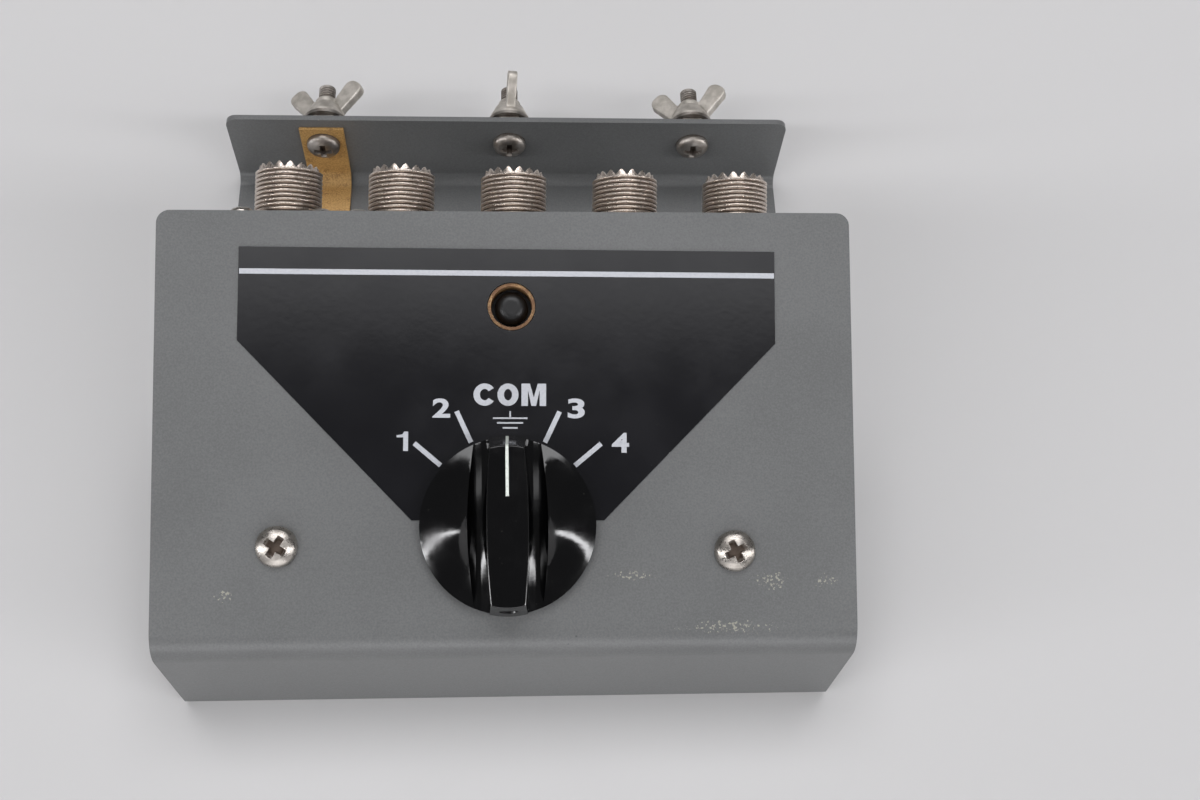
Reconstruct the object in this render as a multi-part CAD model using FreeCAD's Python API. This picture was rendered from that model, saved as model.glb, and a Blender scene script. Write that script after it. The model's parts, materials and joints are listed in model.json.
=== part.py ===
import FreeCAD, Part
import math
import os

# Coaxial antenna switch: a bent sheet stand carries a milled switch housing under its sloping
# panel. Five sockets leave the back of the housing, a bar knob turns the selector, and three
# ground bolts with wing nuts stand on the rear flange.
# Object frame, in millimetres: +X to the right, +Y to the back, +Z up. The origin is the
# middle of the base's underside.

# ---- driving dimensions -------------------------------------------------------------------

# Stand
stand_width = 158.75
stand_depth = 159.0
front_height = 40.0
panel_length = 100.0
panel_tilt = 22.5
flange_height = 28.5
sheet = 1.6
rear_bend = 3.2
foot_bend = 0.8
wide_bend = 6.4
sheet_corner = 3.0

# Switch housing, measured from the shaft's axis and from the panel's outer face
shaft_reach = 28.1
body_turn = 1.0
body_half_width = 69.0
body_front = 18.0
rear_setback = 2.0
body_height = 32.2
ceiling = 3.0
housing_wall = 3.0
rear_wall = 4.0
cover_thickness = 2.0
channel_width = 18.0
channel_ceiling = 6.1
chamber_radius = 33.0
panel_screw_reach = 51.5
panel_screw_drop = 5.2

# Sockets
socket_pitch = 27.0
socket_radius = 7.9375
thread_length = 12.3
rim_radius = 7.0
rim_length = 1.5
socket_bore = 6.35
bore_depth = 5.5
seat_radius = 6.0
seat_depth = 12.0
flange_square = 25.4
flange_thickness = 1.6
spigot_radius = 6.0
feed_radius = 4.5
contact_radius = 2.5
pin_bore = 2.0
pin_bore_depth = 9.0
tail_radius = 1.5
flange_screw_reach = 9.1

# Selector
shaft_radius = 3.175
bushing_radius = 4.7625
bushing_flange = 8.0
bushing_flange_height = 2.0
bushing_stand = 2.6
nut_flats = 12.7
nut_height = 2.4
position_step = 25.0
knob_travel = 50.0
detent_plate_radius = 14.4
detent_plate_height = 1.8
ball_radius = 2.0
ball_reach = 11.5
pit_depth = 0.4
carrier_radius = 13.8
carrier_gap = 0.6
stop_reach = 19.0
stop_pin_radius = 1.5
stop_pin_length = 6.0
lug_half_width = 2.0
stop_slack = 0.3
leaf_thickness = 0.5
leaf_width = 5.0
hub_radius = 7.0
hub_length = 13.5
ring_radius = 8.2
ring_length = 8.0
clip_radius = 5.5
clip_thickness = 0.8
strip_thickness = 0.8
strip_width = 5.0
blade_width = 6.0
contact_circle = 22.0
common_drop = 5.6
wafer_inner = 12.0
wafer_outer = 30.0
wafer_thickness = 1.6
wafer_half_angle = 75.0
post_reach = 26.0
post_angle = 62.0
post_radius = 2.5

# Knob
knob_radius = 19.8
knob_lift = 0.8
rim_height = 1.8
crest_radius = 8.6
crest_height = 9.0
flare_radius = 13.5
flare_height = 4.6
bar_height = 13.0
bar_reach = 20.3
bar_top_reach = 17.6
bar_half_width = 5.1
bar_top_half_width = 4.6
bar_end_narrowing = 0.8
bar_end_bulge = 0.5
channel_half_width = 8.9
channel_end_half_width = 7.4
saddle_height = 3.2
saddle_drop = 2.0
gutter_middle = 6.5
gutter_half_width = 3.0
gutter_depth = 2.0
nut_recess_radius = 7.9
nut_recess_depth = 2.0
knob_bore_depth = 10.2
set_screw_height = 7.0
set_screw_length = 6.0
knob_turn = 1.4

# Surge plug
surge_reach = 49.9
tail_reach = 7.0
sleeve_radius = 5.4
sleeve_wall = 0.7
sleeve_bottom = 12.0
sleeve_flange = 7.4
sleeve_inset = 0.3
cap_radius = 3.8
cap_inset = 1.5
cap_length = 4.0
cap_round = 2.3
collar_length = 3.5
tube_radius = 3.6
electrode_radius = 3.0
electrode_length = 1.4

# Label
label_thickness = 0.25
label_turn = 0.4
label_half_width = 61.2
label_top = 91.2
label_side = 21.4
label_height = 61.9
label_bottom_half_width = 21.7

# Ground bolts
bolt_spacing = 53.0
bolt_height = 18.8
bolt_reach = 19.8
wing_angles = (18.0, 84.0, 18.0)
lock_washer_thickness = 1.2
lock_washer_split = 0.4
hex_nut_flats = 9.525
hex_nut_height = 3.2
wing_washer_thickness = 1.0
wing_washer_radius = 6.35
hub_base_radius = 5.8
hub_foot_height = 1.2
hub_shoulder_radius = 4.1
hub_shoulder_height = 5.0
hub_tip_radius = 3.2
hub_height = 7.1
wing_thickness = 2.6
wing_elbow_reach = 5.2
wing_elbow_height = 2.0
wing_reach = 12.0
wing_reach_height = 9.5
wing_tip_reach = 7.4
wing_tip_height = 13.35
wing_corner = 2.2
wing_root_depth = 0.6

# Ground strap
strap_width = 12.5
strap_thickness = 0.8
strap_top_margin = 6.6
strap_run = 62.0
strap_bend = 2.4

# Screws
number_4_shank = 1.42
number_4_head = 2.78
number_4_height = 1.9
number_6_shank = 1.75
number_6_head = 3.45
number_6_height = 2.3
number_8_shank = 2.083
number_10_shank = 2.413
number_10_head = 4.65
number_10_height = 3.1
small_head_bevel = 0.7
socket_screw_length = 8.0
cover_screw_length = 8.0
panel_screw_length = 12.0
wafer_screw_length = 5.0

# Clearances
seat_gap = 0.02
running_gap = 0.05
hole_gap = 0.2

# ---- places worked out from the driving dimensions -------------------------------------------

V = FreeCAD.Vector
front_y = -stand_depth / 2
flange_face_y = front_y + stand_depth - sheet
body_rear = panel_length - shaft_reach - rear_setback
body_top = -sheet
body_bottom = body_top - body_height
ceiling_under = body_top - ceiling
channel_top = body_top - channel_ceiling
socket_level = (body_top + body_bottom) / 2
socket_face = body_rear + flange_thickness
tail_end = surge_reach + tail_reach
between_sockets = 1.5 * socket_pitch
socket_names = ("1", "2", "common", "3", "4")

# Levels of the selector's stack, going down from the ceiling
detent_face = ceiling_under - detent_plate_height
ball_level = detent_face - running_gap - ball_radius
carrier_top = detent_face - carrier_gap
leaf_top = ball_level - ball_radius
hub_top = leaf_top - leaf_thickness
hub_bottom = hub_top - hub_length
blade_top = socket_level + strip_thickness / 2
blade_bottom = blade_top - strip_thickness
feed_bottom = blade_top + running_gap
feed_top = feed_bottom + strip_thickness
ring_bottom = hub_bottom + seat_gap
common_top = blade_bottom - common_drop + strip_thickness
shaft_bottom = hub_bottom - 2 * clip_thickness

panel_place = FreeCAD.Placement(V(0, front_y, front_height), FreeCAD.Rotation(V(1, 0, 0), panel_tilt))
body_place = panel_place * FreeCAD.Placement(V(0, shaft_reach, 0), FreeCAD.Rotation(V(0, 0, 1), -body_turn))
label_place = panel_place * FreeCAD.Placement(V(0, shaft_reach, 0), FreeCAD.Rotation(V(0, 0, 1), -label_turn))


# ---- helpers ------------------------------------------------------------------------------

def disc(radius, low, high, x=0.0, y=0.0):
    return Part.makeCylinder(radius, high - low, V(x, y, low))


def rod(radius, start, length, x=0.0, z=0.0):
    """A cylinder along +Y."""
    return Part.makeCylinder(radius, length, V(x, start, z), V(0, 1, 0))


def block(x_low, x_high, y_low, y_high, z_low, z_high):
    return Part.makeBox(x_high - x_low, y_high - y_low, z_high - z_low, V(x_low, y_low, z_low))


def prism(points, low, high):
    outline = [V(x, y, low) for x, y in points]
    return Part.Face(Part.makePolygon(outline + outline[:1])).extrude(V(0, 0, high - low))


def hexagon(flats, low, high):
    corner = flats / math.sqrt(3)
    turns = [math.radians(60 * step) for step in range(6)]
    return prism([(corner * math.cos(turn), corner * math.sin(turn)) for turn in turns], low, high)


def moved(shape, x=0.0, y=0.0, z=0.0):
    copy = shape.copy()
    copy.translate(V(x, y, z))
    return copy


def placed(shape, place):
    copy = shape.copy()
    copy.Placement = place.multiply(copy.Placement)
    return copy


def along_y(shape):
    """Turns a shape built along +Z so that it points along +Y."""
    return placed(shape, FreeCAD.Placement(V(0, 0, 0), FreeCAD.Rotation(V(1, 0, 0), -90)))


def upside_down(shape):
    return placed(shape, FreeCAD.Placement(V(0, 0, 0), FreeCAD.Rotation(V(1, 0, 0), 180)))


def around_shaft(radius, angle):
    """The point at a radius from the shaft, turned clockwise from the way to the sockets."""
    turn = math.radians(angle)
    return radius * math.sin(turn), radius * math.cos(turn)


def edges_near(shape, points, reach):
    return [edge for edge in shape.Edges
            if any(edge.CenterOfMass.distanceToPoint(point) < reach for point in points)]


def write(name, shape):
    shape.exportStep(f"parts/{name}.step")


def head_and_rim(radius, height):
    head = disc(radius, 0, height)
    return head, [edge for edge in head.Edges if edge.BoundBox.ZMin > height / 2]


def pan_head_screw(shank_radius, head_radius, head_height, length):
    """Points down -Z from its head's underside at z = 0."""
    head, rim = head_and_rim(head_radius, head_height)
    head = head.makeFillet(head_height / 2, rim)
    return head.fuse(disc(shank_radius, -length, 0)).removeSplitter()


def small_screw(shank_radius, head_radius, head_height, length):
    """As a pan head screw, with a plain bevel round its head."""
    head, rim = head_and_rim(head_radius, head_height)
    head = head.makeChamfer(small_head_bevel, rim)
    return head.fuse(disc(shank_radius, -length, 0)).removeSplitter()


# ---- bent sheet ---------------------------------------------------------------------------

def rounded_edges(points, radii):
    """Straight runs from point to point, joined by tangent arcs of the given radii."""
    edges = []
    start = points[0]
    for before, corner, after, radius in zip(points, points[1:], points[2:], radii):
        back = (before - corner).normalize()
        ahead = (after - corner).normalize()
        half_turn = (math.pi - back.getAngle(ahead)) / 2
        reach = radius * math.tan(half_turn)
        middle = corner + (back + ahead).normalize() * radius * (1 / math.cos(half_turn) - 1)
        edges.append(Part.LineSegment(start, corner + back * reach).toShape())
        edges.append(Part.Arc(corner + back * reach, middle, corner + ahead * reach).toShape())
        start = corner + ahead * reach
    edges.append(Part.LineSegment(start, points[-1]).toShape())
    return edges


def bent_sheet(points, thickness, inside_radii, width):
    """A sheet bent along points in the YZ plane, with its metal to the right of the path."""
    runs = [(end - start).normalize() for start, end in zip(points, points[1:])]
    rights = [V(0, run.z, -run.y) for run in runs]
    far_side = [points[0] + rights[0] * thickness]
    near_radii, far_radii = [], []
    for corner, run, following, right, next_right, radius in zip(
            points[1:], runs, runs[1:], rights, rights[1:], inside_radii):
        far_side.append(corner + (right + next_right) * (thickness / (1 + right.dot(next_right))))
        turns_right = run.y * following.z - run.z * following.y < 0
        near_radii.append(radius + thickness if turns_right else radius)
        far_radii.append(radius if turns_right else radius + thickness)
    far_side.append(points[-1] + rights[-1] * thickness)
    outline = rounded_edges(points, near_radii) + rounded_edges(far_side, far_radii)
    outline.append(Part.LineSegment(points[0], far_side[0]).toShape())
    outline.append(Part.LineSegment(points[-1], far_side[-1]).toShape())
    face = Part.Face(Part.Wire(Part.__sortEdges__(outline)))
    return moved(face, x=-width / 2).extrude(V(width, 0, 0))


def console_stand():
    """Rear flange, base, upright front and sloping panel in one bent sheet."""
    back_y = front_y + stand_depth
    path = [V(0, back_y, flange_height), V(0, back_y, 0), V(0, front_y, 0), V(0, front_y, front_height),
            panel_place.multVec(V(0, panel_length, 0))]
    sheet_metal = bent_sheet(path, sheet, [rear_bend, foot_bend, wide_bend], stand_width)
    corners = []
    for side in (-stand_width / 2, stand_width / 2):
        corners.append(V(side, back_y - sheet / 2, flange_height))
        corners.append(panel_place.multVec(V(side, panel_length, -sheet / 2)))
    sheet_metal = sheet_metal.makeFillet(sheet_corner, edges_near(sheet_metal, corners, sheet / 4))
    through = (-2 * sheet, sheet)
    holes = [disc(bushing_radius + hole_gap, *through), disc(sleeve_radius + hole_gap, *through, y=surge_reach)]
    for x, y in panel_screw_places():
        holes.append(disc(number_10_shank + hole_gap, *through, x=x, y=y))
    sheet_metal = sheet_metal.cut([placed(hole, body_place) for hole in holes])
    bolt_holes = [rod(number_10_shank + hole_gap, flange_face_y - sheet, 3 * sheet, x, bolt_height)
                  for x in bolt_places()]
    return sheet_metal.cut(bolt_holes)


def panel_screw_places():
    return [(-panel_screw_reach, -panel_screw_drop), (panel_screw_reach, -panel_screw_drop)]


def bolt_places():
    return [-bolt_spacing, 0.0, bolt_spacing]


def front_label():
    """Thin plate with cut lower corners, notched round the bushing nut."""
    top = label_top - shaft_reach
    bottom = top - label_height
    outline = [(-label_half_width, top), (label_half_width, top), (label_half_width, top - label_side),
               (label_bottom_half_width, bottom), (-label_bottom_half_width, bottom),
               (-label_half_width, top - label_side)]
    plate = placed(prism(outline, 0, label_thickness), label_place)
    cuts = [disc(nut_recess_radius, -sheet, sheet), disc(sleeve_radius + hole_gap, -sheet, sheet, y=surge_reach)]
    return plate.cut([placed(cut, body_place) for cut in cuts])


# ---- switch housing -----------------------------------------------------------------------

def socket_x(index):
    return (index - 2) * socket_pitch


def switch_angle(index):
    return (index - 2) * position_step


def feed_points(index):
    """From the contact under the rotor's circle to the tail of a socket."""
    straight = contact_radius + strip_width
    return [around_shaft(contact_circle, switch_angle(index)),
            (socket_x(index), tail_end - straight), (socket_x(index), tail_end)]


def flat_run(points, width, low, high):
    """A flat strip along the points, rounded at each point but the last."""
    pieces = []
    for start, end in zip(points, points[1:]):
        length = math.hypot(end[0] - start[0], end[1] - start[1])
        piece = block(-width / 2, width / 2, 0, length, low, high).fuse(disc(width / 2, low, high))
        heading = math.degrees(math.atan2(start[0] - end[0], end[1] - start[1]))
        turn = FreeCAD.Placement(V(start[0], start[1], 0), FreeCAD.Rotation(V(0, 0, 1), heading))
        pieces.append(placed(piece, turn))
    return pieces[0].fuse(pieces[1:]).removeSplitter()


def cover_screw_places():
    """Two by the sockets, two at the sides and two at the front, clear of the channels."""
    rear = body_rear - rear_wall - number_6_head
    side = panel_screw_reach + number_6_shank
    front = number_6_head - body_front
    return [(-between_sockets, rear), (between_sockets, rear), (-side, chamber_radius), (side, chamber_radius),
            (-between_sockets, front), (between_sockets, front)]


def wafer_post_places():
    return [around_shaft(post_reach, -post_angle), around_shaft(post_reach, post_angle)]


def switch_housing():
    """A milled block: a round switch chamber with a channel to each socket, open below."""
    body = block(-body_half_width, body_half_width, -body_front, body_rear, body_bottom, body_top)
    upright = [edge for edge in body.Edges if abs(edge.tangentAt(edge.FirstParameter).z) > 0.9]
    body = body.makeFillet(sheet_corner, upright)
    inner_rear = body_rear - rear_wall
    chamber = disc(chamber_radius, body_bottom - sheet, ceiling_under)
    chamber = chamber.common(block(-chamber_radius, chamber_radius, housing_wall - body_front, chamber_radius,
                                   body_bottom - sheet, ceiling_under))
    body = body.cut(chamber)
    for index in range(len(socket_names)):
        start = around_shaft(contact_circle, switch_angle(index))
        elbow = feed_points(index)[1]
        channel = flat_run([start, elbow, (socket_x(index), inner_rear)], channel_width,
                           body_bottom - sheet, channel_top)
        body = body.cut(channel)
        body = body.cut(rod(spigot_radius + hole_gap, inner_rear - sheet, 3 * rear_wall,
                            socket_x(index), socket_level))
    holes = [disc(bushing_radius + running_gap, ceiling_under - sheet, sheet),
             disc(sleeve_radius + running_gap, channel_top - sheet, sheet, y=surge_reach)]
    for x, y in panel_screw_places():
        holes.append(disc(number_10_shank + running_gap, -panel_screw_length - sheet, 0, x, y))
    for x, y in cover_screw_places():
        holes.append(disc(number_6_shank + running_gap, body_bottom - sheet, body_bottom + cover_screw_length, x, y))
    for x, y in stop_pin_places():
        holes.append(disc(stop_pin_radius + seat_gap, ceiling_under - sheet, ceiling_under + ceiling / 2, x, y))
    for x, z in socket_screw_places():
        holes.append(rod(number_4_shank + running_gap, body_rear - socket_screw_length, 2 * socket_screw_length, x, z))
    return body.cut(holes)


def housing_cover():
    plate = block(-body_half_width, body_half_width, -body_front, body_rear,
                  body_bottom - cover_thickness, body_bottom)
    upright = [edge for edge in plate.Edges if abs(edge.tangentAt(edge.FirstParameter).z) > 0.9]
    plate = plate.makeFillet(sheet_corner, upright)
    low = body_bottom - 2 * cover_thickness
    return plate.cut([disc(number_6_shank + hole_gap, low, body_bottom + sheet, x, y)
                      for x, y in cover_screw_places()])


def strap_screw_index():
    """The cover screw at the left side also holds the ground strap."""
    return 2


def cover_screws():
    screws = []
    for index, (x, y) in enumerate(cover_screw_places()):
        packed = strap_thickness if index == strap_screw_index() else 0.0
        screw = small_screw(number_6_shank, number_6_head, number_6_height, cover_screw_length)
        screws.append(moved(upside_down(screw), x, y, body_bottom - cover_thickness - packed))
    return Part.makeCompound(screws)


def panel_screws():
    screw = pan_head_screw(number_10_shank, number_10_head, number_10_height, panel_screw_length)
    return Part.makeCompound([moved(screw, x, y) for x, y in panel_screw_places()])


# ---- sockets ------------------------------------------------------------------------------

def flange_corners():
    reach = flange_screw_reach
    return [(-reach, -reach), (reach, -reach), (reach, reach), (-reach, reach)]


def socket_screw_places():
    return [(socket_x(index) + x, socket_level + z)
            for index in range(len(socket_names)) for x, z in flange_corners()]


def socket_shell():
    """Square flange, threaded barrel and narrower rim. Its axis is +Y and y = 0 is the flange's outer face."""
    half = flange_square / 2
    flange = block(-half, half, -flange_thickness, 0, -half, half)
    square_edges = [edge for edge in flange.Edges if abs(edge.tangentAt(edge.FirstParameter).y) > 0.9]
    flange = flange.makeFillet(flange_thickness / 2, square_edges)
    end = thread_length + rim_length
    body = flange.fuse([rod(socket_radius, 0, thread_length), rod(rim_radius, thread_length, rim_length),
                        rod(spigot_radius, -flange_thickness - rear_wall, rear_wall)])
    screw_holes = [rod(number_4_shank + hole_gap, -2 * flange_thickness, 4 * flange_thickness, x, z)
                   for x, z in flange_corners()]
    bore = rod(socket_bore, end - bore_depth, bore_depth)
    seat = rod(seat_radius, end - seat_depth, seat_depth)
    feed = rod(feed_radius, -flange_thickness - 2 * rear_wall, 2 * rear_wall + end)
    return body.cut([bore, seat, feed] + screw_holes).removeSplitter()


def socket_insulator():
    end = thread_length + rim_length
    wide = rod(seat_radius - seat_gap, end - seat_depth, seat_depth - bore_depth)
    narrow_start = -flange_thickness - rear_wall
    narrow = rod(feed_radius - seat_gap, narrow_start, end - seat_depth - narrow_start)
    hole = rod(contact_radius + seat_gap, narrow_start - rear_wall, end + 2 * rear_wall)
    return wide.fuse(narrow).cut(hole).removeSplitter()


def socket_contact():
    front = thread_length + rim_length - bore_depth
    back = -flange_thickness - rear_wall
    tube = rod(contact_radius, back, front - back)
    tail_start = tail_end - socket_face
    tail = rod(tail_radius, tail_start, back - tail_start)
    return tube.fuse(tail).cut(rod(pin_bore, front - pin_bore_depth, 2 * pin_bore_depth)).removeSplitter()


def socket_screws():
    screw = along_y(small_screw(number_4_shank, number_4_head, number_4_height, socket_screw_length))
    return Part.makeCompound([moved(screw, x, socket_face, z) for x, z in socket_screw_places()])


# ---- contacts inside the housing -------------------------------------------------------------

def feed_strip(index):
    return flat_run(feed_points(index), strip_width, feed_bottom, feed_top)


def ground_contact():
    """Pad over the rotor's circle, leg up past the wafer and foot under the ceiling."""
    leg = wafer_outer + strip_thickness
    foot = ceiling_under - strip_thickness
    path = [V(0, contact_circle - blade_width / 2, feed_top), V(0, leg, feed_top),
            V(0, leg, foot), V(0, leg - strip_width, foot)]
    return bent_sheet(path, strip_thickness, [strip_thickness, strip_thickness], strip_width)


def common_strip():
    """From the middle socket's tail down and round the slip ring, under the rotor's blade."""
    slope_end = wafer_outer
    slope_start = slope_end + common_drop
    path = [V(0, tail_end, blade_top), V(0, slope_start, blade_top), V(0, slope_end, common_top), V(0, 0, common_top)]
    strip = bent_sheet(path[::-1], strip_thickness, [strip_thickness, strip_thickness], blade_width)
    eye = disc(ring_radius + blade_width / 2, common_top - strip_thickness, common_top)
    return strip.fuse(eye).cut(disc(ring_radius + running_gap, hub_bottom, 0)).removeSplitter()


def stator_wafer():
    """Insulating ring sector over the contact strips."""
    low, high = feed_top, feed_top + wafer_thickness
    ring = disc(wafer_outer, low, high).cut(disc(wafer_inner, low, high))
    reach = 2 * wafer_outer
    sector = [(0, 0)] + [around_shaft(reach, turn) for turn in (-wafer_half_angle, 0, wafer_half_angle)]
    ring = ring.common(prism(sector, low, high))
    return ring.cut([disc(number_4_shank + hole_gap, low, high, x, y) for x, y in wafer_post_places()])


def wafer_posts():
    posts = [disc(post_radius, feed_top + wafer_thickness, ceiling_under, x, y).cut(
             disc(number_4_shank + running_gap, feed_top, feed_top + wafer_screw_length, x, y))
             for x, y in wafer_post_places()]
    return Part.makeCompound(posts)


def wafer_screws():
    screw = small_screw(number_4_shank, number_4_head, number_4_height, wafer_screw_length - seat_gap)
    return Part.makeCompound([moved(upside_down(screw), x, y, feed_top) for x, y in wafer_post_places()])


# ---- selector -----------------------------------------------------------------------------

def shaft_bushing():
    barrel = disc(bushing_radius, ceiling_under, bushing_stand)
    flange = disc(bushing_flange, ceiling_under - bushing_flange_height, ceiling_under)
    bore = disc(shaft_radius + running_gap, ceiling_under - 2 * bushing_flange_height, 2 * bushing_stand)
    return barrel.fuse(flange).cut(bore).removeSplitter()


def bushing_nut():
    return hexagon(nut_flats, 0, nut_height).cut(disc(bushing_radius + seat_gap, 0, nut_height))


def selector_shaft():
    shaft = disc(shaft_radius, shaft_bottom, knob_lift + knob_bore_depth - seat_gap)
    groove = disc(shaft_radius, hub_bottom - clip_thickness, hub_bottom)
    groove = groove.cut(disc(shaft_radius - clip_thickness, hub_bottom - clip_thickness, hub_bottom))
    return shaft.cut(groove)


def shaft_clip():
    low = hub_bottom - clip_thickness
    ring = disc(clip_radius, low, hub_bottom).cut(disc(shaft_radius - clip_thickness + seat_gap, low, hub_bottom))
    gap = shaft_radius - clip_thickness
    return ring.cut(block(-gap, gap, -2 * clip_radius, 0, low, hub_bottom))


def detent_plate():
    """Fixed ring with a row of pits on each side, one pit for each position of each ball."""
    plate = disc(detent_plate_radius, detent_face, ceiling_under)
    plate = plate.cut(disc(bushing_flange + hole_gap, detent_face, ceiling_under))
    pits = []
    for side in (90.0, 270.0):
        for index in range(len(socket_names)):
            x, y = around_shaft(ball_reach, side + switch_angle(index))
            pits.append(Part.makeSphere(ball_radius, V(x, y, detent_face - ball_radius + pit_depth)))
    return plate.cut(pits)


def detent_carrier():
    """Disc on the shaft that carries the balls, with a lug that meets the stop pins."""
    body = disc(carrier_radius, leaf_top, carrier_top)
    lug = block(-lug_half_width, lug_half_width, 0, stop_reach + stop_pin_radius, leaf_top, carrier_top)
    holes = [disc(ball_radius + running_gap, leaf_top, carrier_top, x, y) for x, y in ball_places()]
    holes.append(disc(shaft_radius + seat_gap, leaf_top, carrier_top))
    return body.fuse(lug).cut(holes).removeSplitter()


def ball_places():
    return [(-ball_reach, 0.0), (ball_reach, 0.0)]


def detent_balls():
    return Part.makeCompound([Part.makeSphere(ball_radius, V(x, y, ball_level)) for x, y in ball_places()])


def detent_spring():
    half = ball_reach + ball_radius
    leaf = block(-half, half, -leaf_width / 2, leaf_width / 2, hub_top, leaf_top)
    middle = disc(shaft_radius + leaf_width / 2, hub_top, leaf_top)
    return leaf.fuse(middle).cut(disc(shaft_radius + seat_gap, hub_top, leaf_top)).removeSplitter()


def stop_pin_places():
    """Just past the ends of the lug's travel."""
    spread = math.asin(lug_half_width / stop_reach) + math.asin(stop_pin_radius / stop_reach)
    angle = knob_travel + math.degrees(spread) + stop_slack
    return [around_shaft(stop_reach, -angle), around_shaft(stop_reach, angle)]


def stop_pins():
    top = ceiling_under + ceiling / 2
    return Part.makeCompound([disc(stop_pin_radius, ceiling_under - stop_pin_length, top, x, y)
                              for x, y in stop_pin_places()])


def rotor_hub():
    hub = disc(hub_radius, hub_bottom, hub_top)
    return hub.cut(disc(shaft_radius + seat_gap, hub_bottom, hub_top))


def slip_ring():
    top = ring_bottom + ring_length
    return disc(ring_radius, ring_bottom, top).cut(disc(hub_radius + seat_gap, ring_bottom, top))


def rotor_blade():
    """Radial contact arm, brazed to the slip ring, that wipes the strips' ends."""
    half = blade_width / 2
    arm = block(-half, half, 0, contact_circle, blade_bottom, blade_top)
    tip = disc(half, blade_bottom, blade_top, y=contact_circle)
    return arm.fuse(tip).cut(disc(ring_radius + seat_gap, blade_bottom, blade_top)).removeSplitter()


# ---- knob ---------------------------------------------------------------------------------

def bowed_outline(half_width, end_half_width, reach, bulge, level):
    """Long outline with bowed sides and slightly round ends."""
    corners = [V(-end_half_width, -reach, level), V(end_half_width, -reach, level),
               V(end_half_width, reach, level), V(-end_half_width, reach, level)]
    middles = [V(0, -reach - bulge, level), V(half_width, 0, level), V(0, reach + bulge, level),
               V(-half_width, 0, level)]
    arcs = [Part.Arc(start, middle, end).toShape()
            for start, middle, end in zip(corners, middles, corners[1:] + corners[:1])]
    return Part.Wire(arcs)


def knob_skirt():
    """Round foot that flares up to a crest on each side of the bar."""
    rise = Part.Arc(V(knob_radius, 0, rim_height), V(flare_radius, 0, flare_height), V(crest_radius, 0, crest_height))
    edges = [Part.LineSegment(V(0, 0, 0), V(knob_radius, 0, 0)).toShape(),
             Part.LineSegment(V(knob_radius, 0, 0), V(knob_radius, 0, rim_height)).toShape(), rise.toShape(),
             Part.LineSegment(V(crest_radius, 0, crest_height), V(0, 0, crest_height)).toShape(),
             Part.LineSegment(V(0, 0, crest_height), V(0, 0, 0)).toShape()]
    return Part.Face(Part.Wire(edges)).revolve(V(0, 0, 0), V(0, 0, 1), 360)


def knob_channels():
    """The space beside the bar: a round gutter on each side, deeper at its ends than at the middle."""
    reach = knob_radius
    outline = bowed_outline(channel_half_width, channel_end_half_width, reach, bar_end_bulge, 0)
    space = Part.Face(outline).extrude(V(0, 0, 2 * bar_height))
    axis = saddle_height - (reach ** 2 + saddle_drop ** 2) / (2 * saddle_drop)
    side, lip = 2 * channel_half_width, saddle_height + gutter_depth
    corners = [V(-side, 0, axis), V(-side, 0, lip)]
    for middle in (-gutter_middle, gutter_middle):
        corners += [V(middle - gutter_half_width, 0, lip), V(middle + gutter_half_width, 0, lip)]
    corners += [V(side, 0, lip), V(side, 0, axis)]
    edges = [Part.LineSegment(start, end).toShape() for start, end in zip(corners, corners[1:] + corners[:1])]
    for place, middle in ((2, -gutter_middle), (4, gutter_middle)):
        floor = V(middle, 0, saddle_height)
        edges[place] = Part.Arc(corners[place], floor, corners[place + 1]).toShape()
    floors = Part.Face(Part.Wire(edges)).revolve(V(0, 0, axis), V(1, 0, 0), 360)
    return space.cut(floors)


def knob_bar():
    narrow = bar_end_narrowing
    foot = bowed_outline(bar_half_width, bar_half_width - narrow, bar_reach - bar_end_bulge, bar_end_bulge, 0)
    top = bowed_outline(bar_top_half_width, bar_top_half_width - narrow, bar_top_reach - bar_end_bulge,
                        bar_end_bulge, bar_height)
    bar = Part.makeLoft([foot, top], True, True)
    top_edges = [edge for edge in bar.Edges if edge.BoundBox.ZMin > bar_height - sheet]
    return bar.makeFillet(bar_end_narrowing / 2, top_edges)


def set_on_shaft(shape):
    """Clear of the label, and turned a little where the set screw grips the round shaft."""
    return moved(shape.rotated(V(0, 0, 0), V(0, 0, 1), knob_turn), z=knob_lift)


def selector_knob():
    body = knob_skirt().cut(knob_channels()).fuse(knob_bar())
    cuts = [disc(nut_recess_radius, -sheet, nut_recess_depth),
            disc(shaft_radius + seat_gap, -sheet, knob_bore_depth),
            rod(number_8_shank + seat_gap, -2 * bar_reach, 2 * bar_reach, z=set_screw_height)]
    return set_on_shaft(body.cut(cuts).removeSplitter())


def knob_set_screw():
    """Headless screw in the tail of the bar, against the shaft."""
    start = -shaft_radius - seat_gap - set_screw_length
    slot = block(-leaf_thickness, leaf_thickness, start, start + leaf_thickness, 0, 2 * bar_height)
    slot = slot.fuse(block(-2 * number_8_shank, 2 * number_8_shank, start, start + leaf_thickness * 2,
                           set_screw_height - leaf_thickness / 2, set_screw_height + leaf_thickness / 2))
    screw = rod(number_8_shank, start, set_screw_length, z=set_screw_height)
    return set_on_shaft(screw.cut(slot))


# ---- surge plug ---------------------------------------------------------------------------

def surge_sleeve():
    """Metal sleeve through the panel that guides the plug."""
    tube = disc(sleeve_radius, -sleeve_bottom, -sleeve_inset, y=surge_reach)
    flange = disc(sleeve_flange, channel_top - sleeve_wall * 2, channel_top, y=surge_reach)
    return tube.fuse(flange).cut(disc(sleeve_radius - sleeve_wall, -2 * sleeve_bottom, sheet, y=surge_reach))


def cap_bottom():
    return -cap_inset - cap_length - collar_length


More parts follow.
